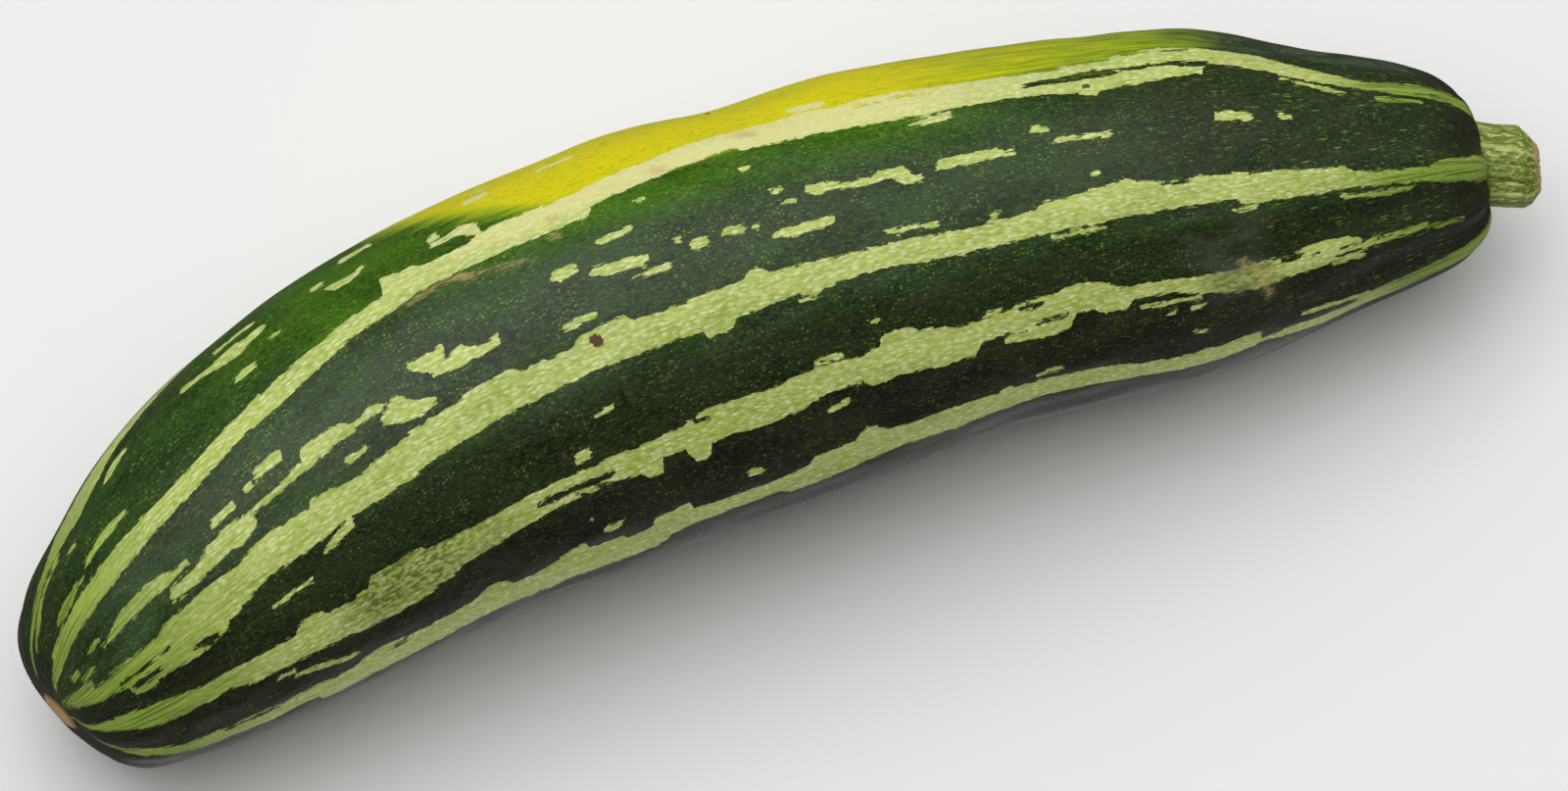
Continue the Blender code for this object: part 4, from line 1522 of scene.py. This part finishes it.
@dataclass
class Fruit:
    """The fruit: socket, shoulder, body and blossom end in one piece.

    Attributes:
        form: Its sizes.
        finish: Its skin.
        rings: Steps along its profile.
        segments: Vertices round it.
        crowd: How much closer than even they are on the visible side.
        crowd_angle: Where they are closest together.
        shape: Its turned shape, once it is built.
    """

    form: FruitForm = field(default_factory=FruitForm)
    finish: SkinFinish = field(default_factory=SkinFinish)
    rings: int = 424
    segments: int = 232
    crowd: float = 0.3
    crowd_angle: float = math.radians(20)
    end_crowding: float = 1.1
    blossom_reach: float = 14 * MM
    stem_reach: float = 10 * MM
    socket_fade: float = 4 * MM
    lump_height: float = 0.12 * MM
    lump_waves: int = 28
    lump_length_mm: Span = (7, 26)
    lump_stretch: tuple[float, float, float] = (0.45, 1, 1)
    lump_seed: int = 5
    slope_step: float = 1 * MM
    scar_end_mm: float = 20
    shape: Turned = field(init=False)

    def build(self) -> bpy.types.Object:
        """Makes the mesh and its attributes.

        Returns:
            The fruit's object.
        """
        form = self.form
        rings = respaced(form.profile(), self.rings, self._crowding)
        self.shape = turned("zucchini_fruit", rings, self.segments, self.crowd, self.crowd_angle)
        lay_out(self.shape.obj, self._places())
        self._keep_attributes()
        return self.shape.obj

    def dress(self) -> None:
        """Gives the fruit its skin, and its place in the frame."""
        obj = self.shape.obj
        obj.data.materials.append(self.finish.material())
        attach(obj, "root")
        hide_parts("fruit")

    def _crowding(self, distance: Array) -> Array:
        """How close together the rings are.

        Args:
            distance: Distances along the fruit.

        Returns:
            The crowding there: 1 in the middle and more at both ends.
        """
        to_blossom = np.exp(-((distance / self.blossom_reach) ** 2))
        to_stem = np.exp(-(((self.form.length - distance) / self.stem_reach) ** 2))
        return 1 + self.end_crowding * (to_blossom + to_stem)

    def _outside(self) -> Array:
        """Where ribs and swells raise the skin.

        Returns:
            1 on the skin, and 0 on the scar and in the socket.
        """
        shape, form = self.shape, self.form
        scar = smooth((shape.radius - form.scar_radius) / (form.dimple_radius - form.scar_radius))
        socket = smooth((shape.radius - form.socket_floor_radius) / self.socket_fade)
        return np.where(shape.height < form.tip_length, scar, socket)

    def _swell(self) -> Array:
        """The broad swells and dents.

        Returns:
            Their height.
        """
        shape = self.shape
        total = np.zeros(shape.height.shape)
        angle_deg = np.degrees(shape.angle)
        for centre, side, height, reach, spread in SWELLS:
            along = (shape.height / MM - centre) / reach
            around = round_trip(angle_deg, side) / spread
            total += height * MM * np.exp(-(along**2 + around**2) / 2)
        return total

    def _lumps(self) -> Array:
        """The skin's small uneven lumps, a sum of random waves.

        Returns:
            Their height.
        """
        shape = self.shape
        draw = np.random.default_rng(self.lump_seed)
        total = np.zeros(shape.height.shape)
        upward, inward = shape.radius * np.cos(shape.angle), shape.radius * np.sin(shape.angle)
        for _ in range(self.lump_waves):
            length_mm = draw.uniform(*self.lump_length_mm)
            along, across, around = draw.normal(size=3) * self.lump_stretch
            way = along * shape.height + across * upward + around * inward
            total += np.sin(2 * math.pi / (length_mm * MM) * way + draw.uniform(0, 2 * math.pi))
        return total * self.lump_height / math.sqrt(self.lump_waves / 2)

    def _places(self) -> Array:
        """Ribs, bends and lays out the turned shape.

        Returns:
            A place for each of its vertices.
        """
        shape, form = self.shape, self.form
        distance, radius, angle = shape.height, shape.radius, shape.angle
        at_blossom = distance < form.tip_length
        outside = self._outside()
        near = np.clip(distance - self.slope_step / 2, 0, None)
        far = np.clip(distance + self.slope_step / 2, None, form.length)
        slope = (form.girth(near) - form.girth(far)) / self.slope_step
        swell = outside * (self._swell() + self._lumps()) / np.hypot(1, slope)
        raised = radius * (1 + outside * form.rib_share(distance, angle)) + swell
        inwards = raised * np.sin(angle)
        to_tip = np.clip(1 - distance / form.tip_length, 0, None)
        ahead = swell * slope - form.tip_lean * inwards * to_tip**2
        to_socket = smooth((distance - form.crease_push_start) / form.crease_push_length)
        ahead -= outside * form.crease_push * to_socket * form.crease_share(np.degrees(angle))
        scar_shift = form.scar_shift * (1 - smooth(radius / form.scar_shift_radius))
        socket_shift = form.socket_shift * (1 - smooth((radius - form.rim_radius) / form.socket_shift_radius))
        inwards += np.where(at_blossom, -scar_shift, socket_shift)
        x, y, turn = form.line(distance)
        x = x + ahead * np.cos(turn) + inwards * np.sin(turn)
        y = y + ahead * np.sin(turn) - inwards * np.cos(turn)
        z = np.clip(form.line_height(distance) + raised * np.cos(angle), 0, None)
        return np.stack([x, y, z], axis=1)

    def _keep_attributes(self) -> None:
        """Stores what the skin's material reads."""
        shape = self.shape
        distance_mm, angle_deg = shape.height / MM, np.degrees(shape.angle)
        pattern = Pattern(distance_mm, angle_deg, np.maximum(shape.radius / MM, 1))
        upward, inward = TEXTURE_RADIUS_MM * np.cos(shape.angle), TEXTURE_RADIUS_MM * np.sin(shape.angle)
        scar_depth = (self.form.scar_radius - shape.radius) / MM
        scar_depth = np.where(distance_mm < self.scar_end_mm, scar_depth, -REACH_MM)
        fields = {
            "straight": np.stack([shape.arc / MM, upward, inward], axis=1),
            "distance": distance_mm,
            "pale": pattern.pale(),
            "yellow": pattern.ground_spot(),
            "scar": np.clip(scar_depth, -REACH_MM, REACH_MM),
        }
        fields |= {name: pattern.zones(zones) for name, zones in ZONES.items()}
        fields |= {name: pattern.spots(blots) for name, blots in SPOTS.items()}
        for name, values in fields.items():
            store(shape.obj, name, values)


@dataclass
class Stem:
    """The stub of the stem, cut off a little above the shoulder.

    The cut end slopes and domes, its rim is ragged, and its corner is worn on the side that faces up. Starts,
    fades and the foot are shares of its length, ridges are shares of its radius, and a wave of the rim has a
    count, a phase and a height.

    Attributes:
        form: The fruit's sizes, which place it.
        finish: Its colours.
        shape: Its turned shape, once it is built.
    """

    form: FruitForm = field(default_factory=FruitForm)
    finish: StemFinish = field(default_factory=StemFinish)
    length: float = 15.4 * MM
    radius: float = 7.8 * MM
    turn: float = math.radians(-18)
    turn_length: float = 6 * MM
    line_share: float = 0.8
    bevel_length: float = 2.4 * MM
    bevel_depth: float = 2.6 * MM
    dome: float = 0.7 * MM
    cut_slope: float = 0.14
    cut_angle: float = math.radians(-60)
    rim_start: float = 0.8
    rim_fade: float = 0.1
    rim_ragged: float = 0.16 * MM
    rim_waves: tuple[tuple[int, float, float], ...] = ((11, 1, 1), (19, 0, 1), (31, 2, 0.8))
    worn_corner: float = 1.5 * MM
    worn_inwards: float = 0.07
    worn_angle: float = math.radians(-50)
    worn_start: float = 0.62
    worn_fade: float = 0.34
    ridges: int = 5
    ridge: float = 0.03
    fine_ridge: float = 0.025
    ridge_wander: float = 0.5
    ridge_wander_length: float = 4 * MM
    hair_ridges: int = 27
    hair_ridge: float = 0.012
    hair_wander: float = 1.4
    hair_wander_length: float = 3 * MM
    foot_share: float = 0.25
    seat_gap: float = 0.3 * MM
    cut_bevel_share: float = 0.3
    cut_fade: float = 1.0 * MM
    rings: int = 130
    segments: int = 220
    shape: Turned = field(init=False)

    def build(self) -> bpy.types.Object:
        """Makes the mesh and its attributes.

        Returns:
            The stem's object.
        """
        rings = respaced(self._profile(), self.rings, lambda height: np.ones(height.shape))
        self.shape = turned("zucchini_stem", rings, self.segments, 0.0, 0.0)
        lay_out(self.shape.obj, self._places())
        self._keep_attributes()
        return self.shape.obj

    def dress(self) -> None:
        """Gives the stem its finish, and its place in the frame."""
        obj = self.shape.obj
        obj.data.materials.append(self.finish.material())
        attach(obj, "root")
        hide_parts("stem")

    def _profile(self) -> Array:
        """The turned profile.

        Returns:
            Points (radius, height) from the middle of the cut end down to the seat.
        """
        top, face = self.length, self.radius - self.bevel_depth
        corners = [
            (0, top - 0.9 * self.dome),
            (0.3 * face, top - 0.7 * self.dome),
            (0.6 * face, top - 0.2 * self.dome),
            (0.9 * face, top - 0.3 * self.dome),
            (face, top - self.dome),
            (self.radius - 0.35 * self.bevel_depth, top - self.dome - 0.45 * self.bevel_length),
            (self.radius, top - self.dome - self.bevel_length),
            (self.radius, 0.5 * top),
            (self.radius, 0.26 * top),
            (1.05 * self.radius, 0.14 * top),
            (1.08 * self.radius, 0.02 * top),
            (0.94 * self.radius, 0),
            (0, 0),
        ]
        return np.array(corners)

    def _ridge_height(self) -> Array:
        """The ridges.

        Returns:
            Their height, as a share of the radius.
        """
        shape = self.shape
        wander = self.ridge_wander * np.sin(shape.height / self.ridge_wander_length)
        hair_wander = self.hair_wander * np.sin(shape.height / self.hair_wander_length)
        coarse = self.ridge * np.cos(self.ridges * shape.angle)
        fine = self.fine_ridge * np.cos(2 * self.ridges * shape.angle + wander)
        hair = self.hair_ridge * np.cos(self.hair_ridges * shape.angle + hair_wander)
        return coarse + fine + hair

    def _places(self) -> Array:
        """Ridges, cuts, bends and lays out the turned shape.

        Returns:
            A place for each of its vertices.
        """
        shape, form = self.shape, self.form
        share = shape.height / self.length
        raised = shape.radius * (1 + self._ridge_height() * smooth(share / self.foot_share))
        sloped = smooth(share * 2 - 1) * self.cut_slope
        height = shape.height - sloped * raised * np.cos(shape.angle - self.cut_angle)
        ragged = sum(size * np.cos(count * shape.angle + at) for count, at, size in self.rim_waves)
        rim = smooth((share - self.rim_start) / self.rim_fade) * shape.radius / self.radius
        height = height + rim * self.rim_ragged * ragged
        facing_up = (1 + np.cos(shape.angle - self.worn_angle)) / 2
        worn = smooth((share - self.worn_start) / self.worn_fade) * facing_up**2
        height = height - worn * self.worn_corner * (raised / self.radius) ** 3
        raised = raised * (1 - self.worn_inwards * worn)
        bend = self.turn * smooth(height / self.turn_length)
        seat = np.array(form.rim_distance() - form.socket_depth + self.seat_gap)
        x, y, _ = form.line(seat)
        heading, shift = form.stem_heading, form.socket_shift
        way, side = heading + self.line_share * bend, heading + bend - math.pi / 2
        inwards = raised * np.sin(shape.angle)
        x = x + height * np.cos(way) + shift * math.sin(heading) + inwards * np.cos(side)
        y = y + height * np.sin(way) - shift * math.cos(heading) + inwards * np.sin(side)
        z = form.line_height(seat) + raised * np.cos(shape.angle)
        return np.stack([x, y, z], axis=1)

    def _keep_attributes(self) -> None:
        """Stores what the stem's material reads."""
        shape = self.shape
        across = shape.radius / MM
        upward, inward = across * np.cos(shape.angle), across * np.sin(shape.angle)
        end = self.length - self.dome - self.cut_bevel_share * self.bevel_length
        store(shape.obj, "straight", np.stack([shape.height / MM, upward, inward], axis=1))
        store(shape.obj, "ridge", self._ridge_height() / (self.ridge + self.fine_ridge))
        store(shape.obj, "cut", smooth((shape.height - end) / self.cut_fade))


@dataclass
class Studio:
    """The plain floor, the soft lights and the camera.

    The surround is a bright dome above, dim walls, and the light that a bright floor all round would throw
    back. A way is a direction. An edge is two cosines of the angle from it, between which the light fades in.
    """

    floor_size: float = 30.0
    floor_gap: float = 0.2 * MM
    camera_distance: float = 1.2
    azimuth: float = math.radians(-22)
    elevation: float = math.radians(68)
    aim: tuple[float, float, float] = (-2.23 * MM, -17.15 * MM, 35 * MM)
    lens_mm: float = 146.25
    sensor_mm: float = 36
    near_clip: float = 10 * MM
    dome_way: tuple[float, float, float] = (0.0, 0.22, 0.975)
    dome_edge: Span = (0.54, 0.85)
    dome_strength: float = 1.56
    walls_strength: float = 0.1
    below_way: tuple[float, float, float] = (0.2, -0.3, -0.93)
    below_edge: Span = (0.8, 0.95)
    below_strength: float = 0.36
    backdrop_strength: float = 0.9
    key_power: float = 6.0
    key_place: tuple[float, float, float] = (-0.2, 0.5, 1.7)
    key_size: Span = (1.4, 1.2)
    key_aim: tuple[float, float, float] = (0, 0, 0.03)
    finish: FloorFinish = field(default_factory=FloorFinish)

    def build(self) -> None:
        """Adds the floor, the camera and the lights."""
        self._floor()
        self._camera()
        self._world()
        self._key_lamp()

    def _floor(self) -> None:
        """Adds the floor under the zucchini."""
        bpy.ops.object.select_all(action="DESELECT")
        bpy.ops.mesh.primitive_plane_add(size=self.floor_size, location=(0, 0, -self.floor_gap))
        floor = bpy.context.object
        floor.name = "floor"
        floor.data.materials.append(self.finish.material())
        floor.visible_glossy = False

    def _camera(self) -> None:
        """Adds the camera, at the viewing angle wanted."""
        aim = Vector(self.aim)
        level = math.cos(self.elevation)
        sideways, backwards = level * math.sin(self.azimuth), -level * math.cos(self.azimuth)
        back = Vector((sideways, backwards, math.sin(self.elevation)))
        data = bpy.data.cameras.new("camera")
        data.lens = self.lens_mm
        data.sensor_width = self.sensor_mm
        data.sensor_fit = "HORIZONTAL"
        data.dof.use_dof = False
        data.clip_start = self.near_clip
        camera = bpy.data.objects.new("camera", data)
        camera.location = aim + self.camera_distance * back
        camera.rotation_euler = (-back).to_track_quat("-Z", "Y").to_euler()
        bpy.context.scene.collection.objects.link(camera)
        bpy.context.scene.camera = camera

    def _world(self) -> None:
        """Sets the soft surround: a bright dome above, dim walls, and a plain backdrop for the camera."""
        world = bpy.data.worlds.new("surround")
        bpy.context.scene.world = world
        tree = Tree(world, "Background")
        way = tree.node("ShaderNodeTexCoord", {}, {}, "Generated")
        settings = {"operation": "DOT_PRODUCT"}
        to_dome = tree.node("ShaderNodeVectorMath", settings, {0: way, 1: self.dome_way}, "Value")
        to_below = tree.node("ShaderNodeVectorMath", settings, {0: way, 1: self.below_way}, "Value")
        dome = to_dome.band(*self.dome_edge) * (self.dome_strength - self.walls_strength)
        below = to_below.band(*self.below_edge) * self.below_strength
        seen = tree.node("ShaderNodeLightPath", {}, {}, "Is Camera Ray")
        strength = (dome + below + self.walls_strength) * (1 - seen) + seen * self.backdrop_strength
        tree.put(tree.shader.inputs["Strength"], strength)
        tree.put(tree.shader.inputs["Color"], (1, 1, 1, 1))

    def _key_lamp(self) -> None:
        """Adds the large soft lamp that faces the zucchini."""
        data = bpy.data.lights.new("key", "AREA")
        data.shape = "RECTANGLE"
        data.size, data.size_y = self.key_size
        data.energy = self.key_power
        lamp = bpy.data.objects.new("key", data)
        lamp.location = self.key_place
        facing = Vector(self.key_aim) - Vector(self.key_place)
        lamp.rotation_euler = facing.to_track_quat("-Z", "Y").to_euler()
        bpy.context.scene.collection.objects.link(lamp)


def colour_management() -> None:
    """Shows colours as they are."""
    settings = bpy.context.scene.view_settings
    settings.view_transform = "Standard"
    settings.look = "None"
    settings.exposure = 0
    settings.gamma = 1


def main() -> None:
    """Builds the pieces in order and reports each one."""
    logging.basicConfig(level=logging.INFO, format="%(name)s: %(message)s")
    for piece in (Fruit(), Stem()):
        obj = piece.build()
        piece.dress()
        LOG.info("%s: %d vertices, %d faces", obj.name, len(obj.data.vertices), len(obj.data.polygons))
    Studio().build()
    colour_management()


if __name__ == "__main__":
    main()
